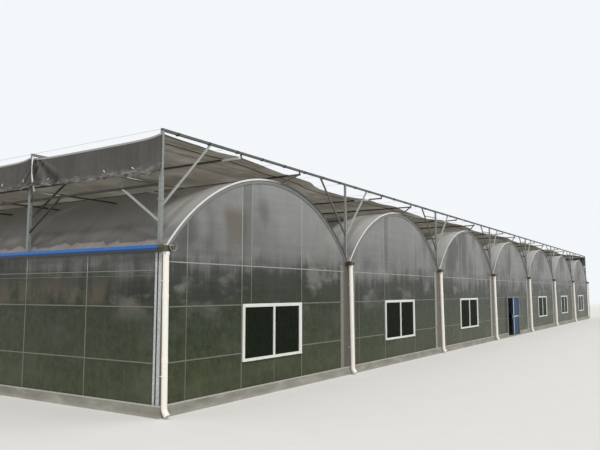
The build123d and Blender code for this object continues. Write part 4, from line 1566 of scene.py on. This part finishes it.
@dataclass
class WallTrim:
    """Cover strips over the sheet joints, rails, columns and corners of all four walls; those over
    the columns and on the corners' fronts are painted shade and light.
    """

    shop: Workshop
    width: float = 0.012
    thin: float = 0.007
    proud: float = 0.0025
    joints: tuple[float, ...] = (-1.42, -0.42)
    over_head: float = 0.012
    under_sill: float = 0.008
    inside_arch: float = 0.037
    column_half: float = 0.12
    column_edge: float = 0.085

    def strips(
        self, starts: np.ndarray, ends: np.ndarray, width: object, out: np.ndarray
    ) -> Shape:
        """Cover strips with the outline of a hat.

        Args:
            starts: Start of each strip.
            ends: End of each strip.
            width: Width of all of them, or of each.
            out: The way that the strips stand out.

        Returns:
            Vertices and faces.
        """
        widths = np.broadcast_to(width, len(starts))
        outline = hat(1.0, self.proud)[None] * np.stack([widths, np.ones(len(widths))], -1)[:, None]
        return straight(starts, ends, outline, out)

    def facade(self, with_door: bool) -> Shape:
        """Strips of the front or back wall, drawn on the front.

        Args:
            with_door: Whether the door's span is left open.

        Returns:
            Uprights up to the arch, and rails beside the windows.
        """
        y = PLAN.y_front
        uprights: list[tuple[float, float, float, float]] = []
        rails: list[tuple[float, float, float]] = []
        edge = PLAN.span / 2 - PLAN.frame_inset
        for k, centre in enumerate(PLAN.centres):
            door = with_door and k == PLAN.door_span
            head = PLAN.door_head if door else PLAN.window_head
            for offset in (-PLAN.mullion, PLAN.mullion):
                uprights.append((centre + offset, PLAN.kerb_top, self.top_of(offset), self.width))
            for offset in self.joints:
                low = PLAN.kerb_top if abs(offset) > PLAN.mullion else head + self.over_head
                uprights.append((centre + offset, low, self.top_of(offset), self.thin))
            if not door:
                sill = PLAN.window_sill - self.under_sill
                uprights.append((centre + 0.01, PLAN.kerb_top, sill, self.thin))
            rails.append((centre - edge, centre + edge, PLAN.high_rail))
            for level in (PLAN.low_rail, PLAN.mid_rail):
                rails.append((centre - edge, centre - PLAN.mullion, level))
                rails.append((centre + PLAN.mullion, centre + edge, level))
        x, low, high, width = np.array(uprights).T
        standing = self.strips(xyz(x, y, low), xyz(x, y, high), width, -SIDEWAYS)
        left, right, level = np.array(rails).T
        lying = self.strips(xyz(left, y, level), xyz(right, y, level), self.width, -SIDEWAYS)
        return joined([standing, lying])

    def top_of(self, offset: float) -> float:
        """Level where an upright meets the gable arch."""
        return float(PLAN.arch_level(np.array(offset), self.inside_arch))

    def side(self) -> Shape:
        """Strips of the left wall.

        Returns:
            An upright every half bay, two rails and two thin lines above them.
        """
        x, out = PLAN.x_left, np.array([-1.0, 0.0, 0.0])
        y = PLAN.sheet_joints
        standing = self.strips(xyz(x, y, PLAN.kerb_top), xyz(x, y, PLAN.wall_top), self.width, out)
        near = PLAN.y_front + 0.095
        z = np.array([PLAN.low_rail, PLAN.mid_rail, PLAN.side_rail, PLAN.side_rail - 0.048])
        widths = np.array([self.width, self.width, self.thin, self.thin * 0.7])
        return joined([standing, self.strips(xyz(x, near, z), xyz(x, -near, z), widths, out)])

    def columns(self) -> tuple[Shape, Shape]:
        """Painted faces of the inner columns, which stand behind the sheet.

        Returns:
            Flat covers with bevelled sides, dark as painted shade, and the pale edge strips on both
            their sides, pale as painted light.
        """
        y, half, edge = PLAN.y_front, self.column_half, self.column_half + self.column_edge
        outline = np.array([
            [-half, 0], [half, 0], [half - 0.002, 0.004],
            [half - 0.03, 0.006], [0.03 - half, 0.006],
        ])
        lines = PLAN.gutter_lines[1:-1]
        foot, rise = xyz(lines, y, PLAN.kerb_top), [0, 0, PLAN.wall_top - PLAN.kerb_top]
        plates = straight(foot, foot + rise, outline, -SIDEWAYS)
        aside = np.array([(half + edge) / 2, 0, 0])
        foot = np.concatenate([foot - aside, foot + aside])
        edges = straight(foot, foot + rise, hat(edge - half - 0.002, 0.002), -SIDEWAYS)
        return plates, edges

    def corner(self) -> tuple[Shape, Shape, Shape]:
        """Trim of the left front corner.

        Returns:
            Edge strip, black seal whose black is also painted shade in the slot, and front cover,
            dark as painted shade on the front leg, each a box from kerb to gutter.
        """
        x, y = PLAN.x_left, PLAN.y_front
        low, high = PLAN.kerb_top, PLAN.wall_top
        strip = blocks([x - 0.006, y + 0.05, low], [x, y + 0.076, high])
        seal = blocks([x - 0.0045, y + 0.036, low], [x - 0.003, y + 0.05, high])
        cover = blocks([x - 0.0015, y - 0.0045, low], [x + 0.042, y - 0.003, high])
        return strip, seal, cover

    def build(self) -> None:
        """Makes the strips of the four walls and four corners."""
        finishes, side = self.shop.finishes, self.side()
        plates, edges = self.columns()
        strip, seal, cover = (on_all_corners(shape) for shape in self.corner())
        corner = finishes.by_slot[Slot.CORNER]
        for name, shape, finish in (
            ("front_cover_strips", self.facade(True), finishes.cover),
            ("back_cover_strips", at_back(self.facade(False)), finishes.cover),
            ("left_cover_strips", side, finishes.cover),
            ("right_cover_strips", at_right(side), finishes.cover),
            # Dark covers and pale strips over the columns: painted shade and painted light.
            ("shaded_column_faces", on_both_gables(plates), finishes.column),
            ("lit_column_edges", on_both_gables(edges), finishes.pale),
            ("corner_edge_strips", strip, corner),
            ("corner_seals", seal, finishes.seal_and_shade),
            ("shaded_corner_covers", cover, finishes.column),
        ):
            self.shop.piece(name, shape, finish, Slot.CORNER)


@dataclass
class RoofTrim:
    """Edging on the gable ends of the roof, a painted highlight on the left half of each arch and
    painted shade on the right half, and joint strips over it.
    """

    shop: Workshop
    steps: int = 64
    edge_depth: float = 0.015
    top_width: float = 0.1
    lip: float = 0.0125
    thick: float = 0.003

    def sweep_arcs(self, y: float, outline: np.ndarray) -> Shape:
        """Carries an outline along an arc over every span, from gutter to gutter.

        The arc is the centre of the span, plus the radius times the sine of the
        angle in X and its cosine in Z.

        Args:
            y: Place of the arcs.
            outline: Corners, each a distance along Y and one out from the arc.

        Returns:
            Vertices and faces, the ends closed.
        """
        half = math.asin((PLAN.arch_half - 0.004) / PLAN.arch_radius)
        angle = np.linspace(-half, half, self.steps)
        x = PLAN.centres[:, None] + PLAN.arch_radius * np.sin(angle)
        paths = xyz(x, y, PLAN.arch_centre + PLAN.arch_radius * np.cos(angle))
        run = unit(np.gradient(paths, axis=1))
        out = np.cross(SIDEWAYS, run)
        rings = paths[:, :, None] + outline[:, :1] * SIDEWAYS + outline[:, 1:] * out[:, :, None]
        return rings.reshape(-1, 3), ring_faces(*rings.shape[:3], turned=True)

    def build(self) -> None:
        """Makes the edging of both gables and the strips over the sheet joints."""
        lip, outer, back = -self.lip, -self.lip - self.thick, self.top_width - self.lip
        top = [[outer, 0.0004], [back, 0.0004], [back - 0.003, 0.004], [outer, 0.003]]
        drop = [[outer, -self.edge_depth], [lip, -self.edge_depth], [lip, 0.0002], [outer, 0.0002]]
        finishes = self.shop.finishes
        for name, outline in (("roof_edging", top), ("roof_edging_lip", drop)):
            edging = on_both_gables(self.sweep_arcs(PLAN.y_front, np.array(outline)))
            self.shop.piece(name, edging, finishes.lip, Slot.ARCH)
        strip = np.array([[-0.012, 0.0003], [0.012, 0.0003], [0.007, 0.003], [-0.007, 0.003]])
        bands = joined(self.sweep_arcs(y, strip) for y in PLAN.sheet_joints)
        self.shop.piece("roof_joint_strips", bands, finishes.cover, Slot.CORNER)


@dataclass
class GutterEnds:
    """End plates of the gutters and a thin blue edge under the blue eave strips, darker as painted
    shade.
    """

    shop: Workshop
    plate: float = 0.002
    inset: float = 0.003
    shaded_film: float = 0.016

    def build(self) -> None:
        """Makes a plate in the end of each channel, and the darker blue edge along the side
        gutters, which is painted shade.
        """
        y = PLAN.y_front - PLAN.gutter_overhang + self.inset
        low, high = PLAN.gutter_floor_half - self.inset, PLAN.gutter_half - self.inset
        bottom, top = PLAN.gutter_bottom + 0.0032, PLAN.gutter_top - 0.001
        outline = np.array([[-low, 0], [low, 0], [high, top - bottom], [-high, top - bottom]])
        face = xyz(PLAN.gutter_lines, y, bottom)
        plates = straight(face + [0, self.plate, 0], face, outline)
        steel = self.shop.finishes.by_slot[Slot.GUTTER]
        self.shop.piece("gutter_end_plates", on_both_gables(plates), steel, Slot.GUTTER)
        corner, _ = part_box("left_eave_strip")
        shaded_film = blocks(
            [corner.x + 0.0005, PLAN.y_front, corner.z - self.shaded_film],
            [corner.x + 0.002, -PLAN.y_front, corner.z + 0.001],
        )
        blue = self.shop.finishes.shaded_film
        self.shop.piece("shaded_eave_film", joined([shaded_film, at_right(shaded_film)]), blue, Slot.STRIP)


@dataclass
class Downpipes:
    """Round pipes with sockets, wall clips and an open shoe that leans out."""

    shop: Workshop
    radius: float = 0.0275
    bore: float = 0.023
    out: float = 0.05
    lean: float = 0.019
    knee: float = 0.07
    shoe: float = 0.06
    turn: float = math.radians(40)
    sides: int = 28
    inner_rings: int = 5
    collars: tuple[float, ...] = (0.5, 1.06)
    clip_levels: tuple[float, ...] = (0.36, 1.2)

    def centreline(self) -> tuple[np.ndarray, np.ndarray]:
        """Path of one pipe at X 0, with a rounded knee.

        The knee is a quadratic curve through the two runs. The radius grows by
        about a seventh in the top socket and a sixteenth at the collars.

        Returns:
            Points of the path, and the radius at each.
        """
        top = np.array([0, PLAN.y_front - self.out, PLAN.gutter_bottom])
        knee = np.array([0, PLAN.y_front - self.out - self.lean, self.knee])
        end = knee + self.shoe * np.array([0, -math.sin(self.turn), -math.cos(self.turn)])
        down = unit(knee - top)
        levels = [0.0, 0.03, 0.032]
        radii = [1.14, 1.14, 1.0]
        for collar in self.collars:
            at = (PLAN.gutter_bottom - collar) / -down[2]
            levels += [at - 0.022, at - 0.02, at + 0.02, at + 0.022]
            radii += [1.0, 1.06, 1.06, 1.0]
        order = np.argsort(levels)
        straight_run = top + np.array(levels)[order, None] * down
        t = np.linspace(0, 1, 8)[:, None]
        a, c = knee - 0.03 * down, knee + 0.028 * unit(end - knee)
        bend = (1 - t) ** 2 * a + 2 * t * (1 - t) * knee + t**2 * c
        path = np.vstack([straight_run, bend, end])
        radius = np.concatenate([np.array(radii)[order], np.ones(len(bend) + 1)])
        return path, radius * self.radius

    def tube(self) -> Shape:
        """One pipe: rings of the path's radii, then back up inside the shoe.

        Returns:
            Vertices and faces, the ends closed.
        """
        path, radius = self.centreline()
        run = unit(np.gradient(path, axis=0))
        back = slice(-1, -1 - self.inner_rings, -1)
        path, run = np.vstack([path, path[back]]), np.vstack([run, run[back]])
        radius = np.append(radius, np.full(self.inner_rings, self.bore))
        side = np.array([1.0, 0.0, 0.0])
        lift = np.cross(side, run)
        ring = circle(1.0, self.sides)
        around = ring[:, :1] * side + ring[:, 1:] * lift[:, None]
        points = path[:, None] + radius[:, None, None] * around
        return points.reshape(-1, 3), ring_faces(1, len(path), self.sides, turned=True)

    def clips(self) -> Shape:
        """Fixings of one pipe.

        Returns:
            At each level a thin band round the pipe and a short stem to the wall.
        """
        level = np.array(self.clip_levels)
        share = (PLAN.gutter_bottom - level) / (PLAN.gutter_bottom - self.knee)
        y = PLAN.y_front - self.out - self.lean * share
        ring = circle(self.radius + 0.0015, 20)
        bands = straight(xyz(0, y, level - 0.005), xyz(0, y, level + 0.005), ring, SIDEWAYS)
        wall = PLAN.y_front - 0.002
        return joined([bands, rods(xyz(0, y + self.radius, level), xyz(0, wall, level), 0.003)])

    def build(self) -> None:
        """Makes the pipes of both walls in place of the plain ones."""
        white = self.shop.finishes.by_slot[Slot.PIPE]
        pipes = repeated(self.tube(), PLAN.gutter_lines)
        clips = repeated(self.clips(), PLAN.gutter_lines)
        for wall, row, fixings in (
            ("front", pipes, clips),
            ("back", at_back(pipes), at_back(clips)),
        ):
            made = self.shop.piece(f"{wall}_pipes", row, white, Slot.PIPE)
            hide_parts(f"{wall}_downpipes")
            self.shop.piece(f"{wall}_pipes_clips", fixings, white, Slot.PIPE)


@dataclass
class ShadeFittings:
    """Clips, clamps, painted lit tube ends, ties and wires of the shade frame, and hooks on the
    gutters.
    """

    shop: Workshop
    clip_pitch: float = 0.45
    clip_inset: float = 0.2
    clip_half: tuple[float, float] = (0.011, 0.0165)
    clamp_half: float = 0.021
    clamp_levels: tuple[float, float] = (1.93, 1.955)
    lit_tube_end: float = 0.26
    lit_tube_end_half: float = 0.012
    lit_tube_end_out: float = 0.06
    tie_reach: tuple[float, float] = (0.52, 0.012)
    tie_levels: tuple[float, float] = (2.452, 2.47)
    hook_radii: tuple[float, float] = (0.045, 0.048)
    rod_radius: float = 0.007
    wire_offsets: tuple[float, ...] = (-0.9, 0.0, 0.9)
    wire_radius: float = 0.0012

    def beam_clips(self) -> Shape:
        """Clips that hold the net on the beams.

        Returns:
            Boxes round the beam of every row, at an even pitch.
        """
        pitch = np.arange(PLAN.x_left + self.clip_inset, -PLAN.x_left, self.clip_pitch)
        x, y = crossings(pitch, PLAN.rows)
        wide, deep = self.clip_half
        low = xyz(x - wide, y - deep, PLAN.beam_top - PLAN.beam - 0.005)
        return blocks(low, xyz(x + wide, y + deep, PLAN.beam_top - 0.0003))

    def brace_clamps(self) -> Shape:
        """Clamps that the braces start from.

        Returns:
            A box round every post.
        """
        x, y = crossings(PLAN.gutter_lines, PLAN.rows)
        half, (low, high) = self.clamp_half, self.clamp_levels
        return blocks(xyz(x - half, y - half, low), xyz(x + half, y + half, high))

    def lit_tube_ends(self) -> Shape:
        """White boxes on the tubes, a painted highlight for their sunlit ends, where the net's
        outer edge is drawn back.

        Returns:
            A box on the left tube of each span, from just outside the edge inwards.
        """
        x, y = crossings(PLAN.centres - PLAN.mullion, PLAN.rows[[0, -1]])
        inward, half = -np.sign(y), self.lit_tube_end_half
        back = np.maximum(ShadeNet(self.shop).front_edge(x) - self.lit_tube_end_out, 0)
        near, far = y + back * inward, y + (back + self.lit_tube_end) * inward
        low = xyz(x - half, np.minimum(near, far), PLAN.tube_top - 0.0215)
        return blocks(low, xyz(x + half, np.maximum(near, far), PLAN.tube_top + 0.001))

    def arm_ties(self, row: float) -> Shape:
        """Thin rods from the inner posts of one row towards the tubes at their left."""
        arms, (far, near), (low, high) = PLAN.gutter_lines[2:-1], self.tie_reach, self.tie_levels
        return rods(xyz(arms - far, row, low), xyz(arms - near, row, high), self.rod_radius)

    def hooks(self) -> Shape:
        """Bent rods at the four gutter corners, each most of an ellipse.

        Returns:
            Vertices and faces of all four.
        """
        turn = np.radians(np.linspace(-185, 25, 20))
        wide, high = self.hook_radii
        arc = xyz(wide * np.cos(turn), 0 * turn, high * np.sin(turn))
        front = PLAN.y_front - PLAN.gutter_overhang - 0.005
        arc += [PLAN.x_left + 0.055, front, PLAN.gutter_top - 0.008]
        return on_all_corners(sweep(arc[None], circle(self.rod_radius, 8), SIDEWAYS))

    def wires(self) -> Shape:
        """Thin wires from the first to the last row.

        Returns:
            One along each gutter line, level with the beams' top, and three over the
            tubes of each span.
        """
        over = np.add.outer(PLAN.centres, self.wire_offsets).ravel()
        x = np.concatenate([PLAN.gutter_lines, over])
        under = np.arange(len(x)) < len(PLAN.gutter_lines)
        z = np.where(under, PLAN.beam_top - 0.003, PLAN.tube_top + 0.012)
        return rods(xyz(x, PLAN.rows[0], z), xyz(x, PLAN.rows[-1], z), self.wire_radius, 6)

    def build(self) -> None:
        """Makes all of them."""
        finishes = self.shop.finishes
        steel = finishes.by_slot[Slot.SHADE]
        for name, shape, finish, slot in (
            ("beam_clips", self.beam_clips(), finishes.shaded, Slot.SHADE),
            ("brace_clamps", self.brace_clamps(), steel, Slot.SHADE),
            ("painted_lit_tube_ends", self.lit_tube_ends(), finishes.lit_tube_end, Slot.WINDOW),
            ("front_arm_ties", self.arm_ties(PLAN.rows[0]), finishes.shaded, Slot.SHADE),
            ("back_arm_ties", self.arm_ties(PLAN.rows[-1]), finishes.shaded, Slot.SHADE),
            ("gutter_hooks", self.hooks(), finishes.pale, Slot.GUTTER),
            ("net_wires", self.wires(), finishes.wire, Slot.SHADE),
        ):
            self.shop.piece(name, shape, finish, slot)


@dataclass
class Windows:
    """Sliding sashes, sill and latch in each window frame."""

    shop: Workshop
    half: float = 0.5425
    bar: float = 0.008
    meeting: float = 0.0145
    glass_inset: float = 0.0285
    sill_half: float = 0.5705

    def sash(self, outer: float, inner: float, y: float) -> Shape:
        """Two bars of one sash: the top, and the outer stile, three times as wide on the right.

        Args:
            outer: X of the edge in the frame.
            inner: X of the edge by the middle.
            y: Front of the bars.

        Returns:
            Two boxes.
        """
        low_z, high_z = PLAN.window_sill + self.glass_inset, PLAN.window_head - self.glass_inset
        bar_z = high_z - self.bar
        low, high = min(outer, inner), max(outer, inner)
        wide = self.bar if outer < inner else 3 * self.bar
        stile = low if outer < inner else high - wide
        return blocks(
            np.array([[low, y, bar_z], [stile, y, low_z]]),
            np.array([[high, y + 0.01, high_z], [stile + wide, y + 0.01, bar_z]]),
        )

    def one(self) -> Shape:
        """Sashes, sill and latch of a window at X 0.

        Returns:
            Their boxes in one shape.
        """
        y, half = PLAN.y_front, self.half - 0.0005
        left = self.sash(-half, -self.meeting, y - 0.0105)
        right = self.sash(half, self.meeting, y - 0.0105)
        sill, end = PLAN.window_sill, self.sill_half
        ledge = blocks([-end, y - 0.018, sill], [end, y - 0.0123, sill + 0.006])
        latch = blocks([-0.008, y - 0.02, 0.64], [0.004, y - 0.0122, 0.69])
        return joined([left, right, ledge, latch])

    def build(self) -> None:
        """Fits every window of both walls."""
        white = self.shop.finishes.by_slot[Slot.WINDOW]
        one = self.one()
        front = repeated(one, np.delete(PLAN.centres, PLAN.door_span))
        self.shop.piece("front_sashes", front, white, Slot.WINDOW)
        back = at_back(repeated(one, PLAN.centres))
        self.shop.piece("back_sashes", back, white, Slot.WINDOW)


@dataclass
class Door:
    """White covers on the right leaf, a seal on the left one whose black is also painted shade, and
    a pull on each.
    """

    shop: Workshop
    proud: float = 0.0015
    pull_half: float = 0.06
    pull_radius: float = 0.0025

    def leaf(self, node: str, body: Body) -> None:
        """Makes the pieces that slide with one leaf.

        Args:
            node: Solid of the leaf.
            body: The body that it moves with.
        """
        finishes = self.shop.finishes
        low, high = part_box(node)
        middle = (low.z + high.z) / 2
        stile = blocks(
            [low.x + 0.002, low.y - self.proud, low.z + 0.01],
            [low.x + 0.042, low.y, high.z - 0.004],
        )
        if body is Body.DOOR_RIGHT:
            rail = blocks(
                [low.x + 0.046, low.y - 0.001, middle - 0.01],
                [high.x - 0.046, low.y + 0.001, middle + 0.01],
            )
            white = finishes.by_slot[Slot.WINDOW]
            self.shop.piece(node + "_covers", joined([rail, stile]), white, Slot.WINDOW, body)
        else:
            # Black seal, also painted shade along the left leaf's edge.
            self.shop.piece(node + "_seal", stile, finishes.seal_and_shade, Slot.DOOR, body)
        x, y = low.x + 0.022, low.y - 0.0045
        ends = xyz(x, y, [middle - self.pull_half, middle + self.pull_half])
        pull = rods(ends[:1], ends[1:], self.pull_radius)
        self.shop.piece(node + "_pull", pull, finishes.by_slot[Slot.CORNER], Slot.CORNER, body)

    def build(self) -> None:
        """Fits both leaves."""
        self.leaf("door_leaf_right", Body.DOOR_RIGHT)
        self.leaf("door_leaf_left", Body.DOOR_LEFT)


def aim(thing: bpy.types.Object, toward: Colour) -> None:
    """Turns a camera or lamp so that it looks along a direction."""
    thing.rotation_mode = "QUATERNION"
    thing.rotation_quaternion = Vector(toward).to_track_quat("-Z", "Y")


@dataclass
class Studio:
    """Camera, soft lamps, pale floor and white backdrop."""

    camera_x: float = PLAN.x_left - 4.03684
    camera_y: float = PLAN.y_front - 4.0761
    camera_z: float = 1.0987
    heading: float = math.radians(32.772)
    tilt: float = math.radians(6.15)
    lens: float = 37.345
    sensor: float = 36.0
    sight: float = 500.0
    backdrop: Colour = (0.9, 0.93, 0.96)
    floor: Colour = (0.78, 0.77, 0.74)
    floor_radius: float = 150.0
    floor_sides: int = 96
    fill: float = 0.56

    def camera(self) -> None:
        """Places the camera at the photograph's viewing point, heading and tilt."""
        data = bpy.data.cameras.new("Camera")
        data.lens, data.sensor_width, data.clip_end = self.lens, self.sensor, self.sight
        camera = stand("Camera", data)
        camera.location = (self.camera_x, self.camera_y, self.camera_z)
        level, rise = math.cos(self.tilt), math.sin(self.tilt)
        aim(camera, (math.cos(self.heading) * level, math.sin(self.heading) * level, rise))
        bpy.context.scene.camera = camera

    def lamp(self, name: str, toward: Colour, strength: float, angle: float) -> None:
        """Adds a wide soft sun.

        Args:
            name: Name of the lamp.
            toward: The way that it shines.
            strength: Energy of the sun.
            angle: How wide it is, in degrees.
        """
        data = bpy.data.lights.new(name, "SUN")
        data.energy, data.angle = strength, math.radians(angle)
        aim(stand(name, data), toward)

    def world(self) -> None:
        """Even fill light, with the backdrop shown to the camera and through glass."""
        world = bpy.data.worlds.new("World")
        bpy.context.scene.world = world
        world.use_nodes = True
        nodes, links = world.node_tree.nodes, world.node_tree.links
        nodes.clear()
        output = nodes.new("ShaderNodeOutputWorld")
        fill, shown = nodes.new("ShaderNodeBackground"), nodes.new("ShaderNodeBackground")
        fill.inputs["Color"].default_value = (1.0, 1.0, 1.0, 1.0)
        fill.inputs["Strength"].default_value = self.fill
        shown.inputs["Color"].default_value = (*self.backdrop, 1.0)
        path, seen = nodes.new("ShaderNodeLightPath"), nodes.new("ShaderNodeMath")
        seen.operation = "MAXIMUM"
        mix = nodes.new("ShaderNodeMixShader")
        for source, target in (
            (path.outputs["Is Camera Ray"], seen.inputs[0]),
            (path.outputs["Is Transmission Ray"], seen.inputs[1]),
            (seen.outputs[0], mix.inputs[0]),
            (fill.outputs[0], mix.inputs[1]),
            (shown.outputs[0], mix.inputs[2]),
            (mix.outputs[0], output.inputs["Surface"]),
        ):
            links.new(source, target)

    def ground(self) -> None:
        """Round pale floor whose finish fades into the backdrop with distance."""
        g = ShaderGraph("Floor")
        grain = g.noise(g.place(), 3.0, 6)
        tone = g.mix(grain, self.floor, tuple(c * 0.94 for c in self.floor))
        g.dress(base_color=tone, roughness=0.9, specular_ior_level=0.1)
        far = g.add("VectorMath", {0: g.place()}, operation="LENGTH").outputs["Value"]
        glow = g.add("Emission", {"Color": self.backdrop})
        parts = {0: g.between(far, 22.0, 60.0), 1: g.surface.outputs[0], 2: glow.outputs[0]}
        finish = g.show(g.add("MixShader", parts))
        x, y = circle(self.floor_radius, self.floor_sides).T
        mesh = bpy.data.meshes.new("Floor")
        mesh.from_pydata(xyz(x, y, -0.0005).tolist(), [], [list(range(self.floor_sides))])
        mesh.materials.append(finish)
        stand("Floor", mesh)

    def build(self) -> None:
        """Sets up the whole stage."""
        self.camera()
        self.lamp("Key", (0.5, 0.55, -0.8), 1.9, 14.0)
        self.lamp("Fill", (-0.7, 0.5, -0.5), 0.35, 40.0)
        self.world()
        self.ground()
        bpy.context.scene.view_settings.view_transform = "Standard"


def main() -> None:
    """Builds the finishes, the pieces and the stage in order."""
    logging.basicConfig(level=logging.INFO, format="%(message)s")
    finishes = Finishes()
    finishes.paint_solids()
    shop = Workshop(finishes)
    for part in (
        ShadeNet, Valance, WallTrim, RoofTrim, GutterEnds, Downpipes, ShadeFittings, Windows, Door
    ):
        part(shop).build()
    Studio().build()
    LOG.info("made %d pieces", len(shop.made))


if __name__ == "__main__":
    main()
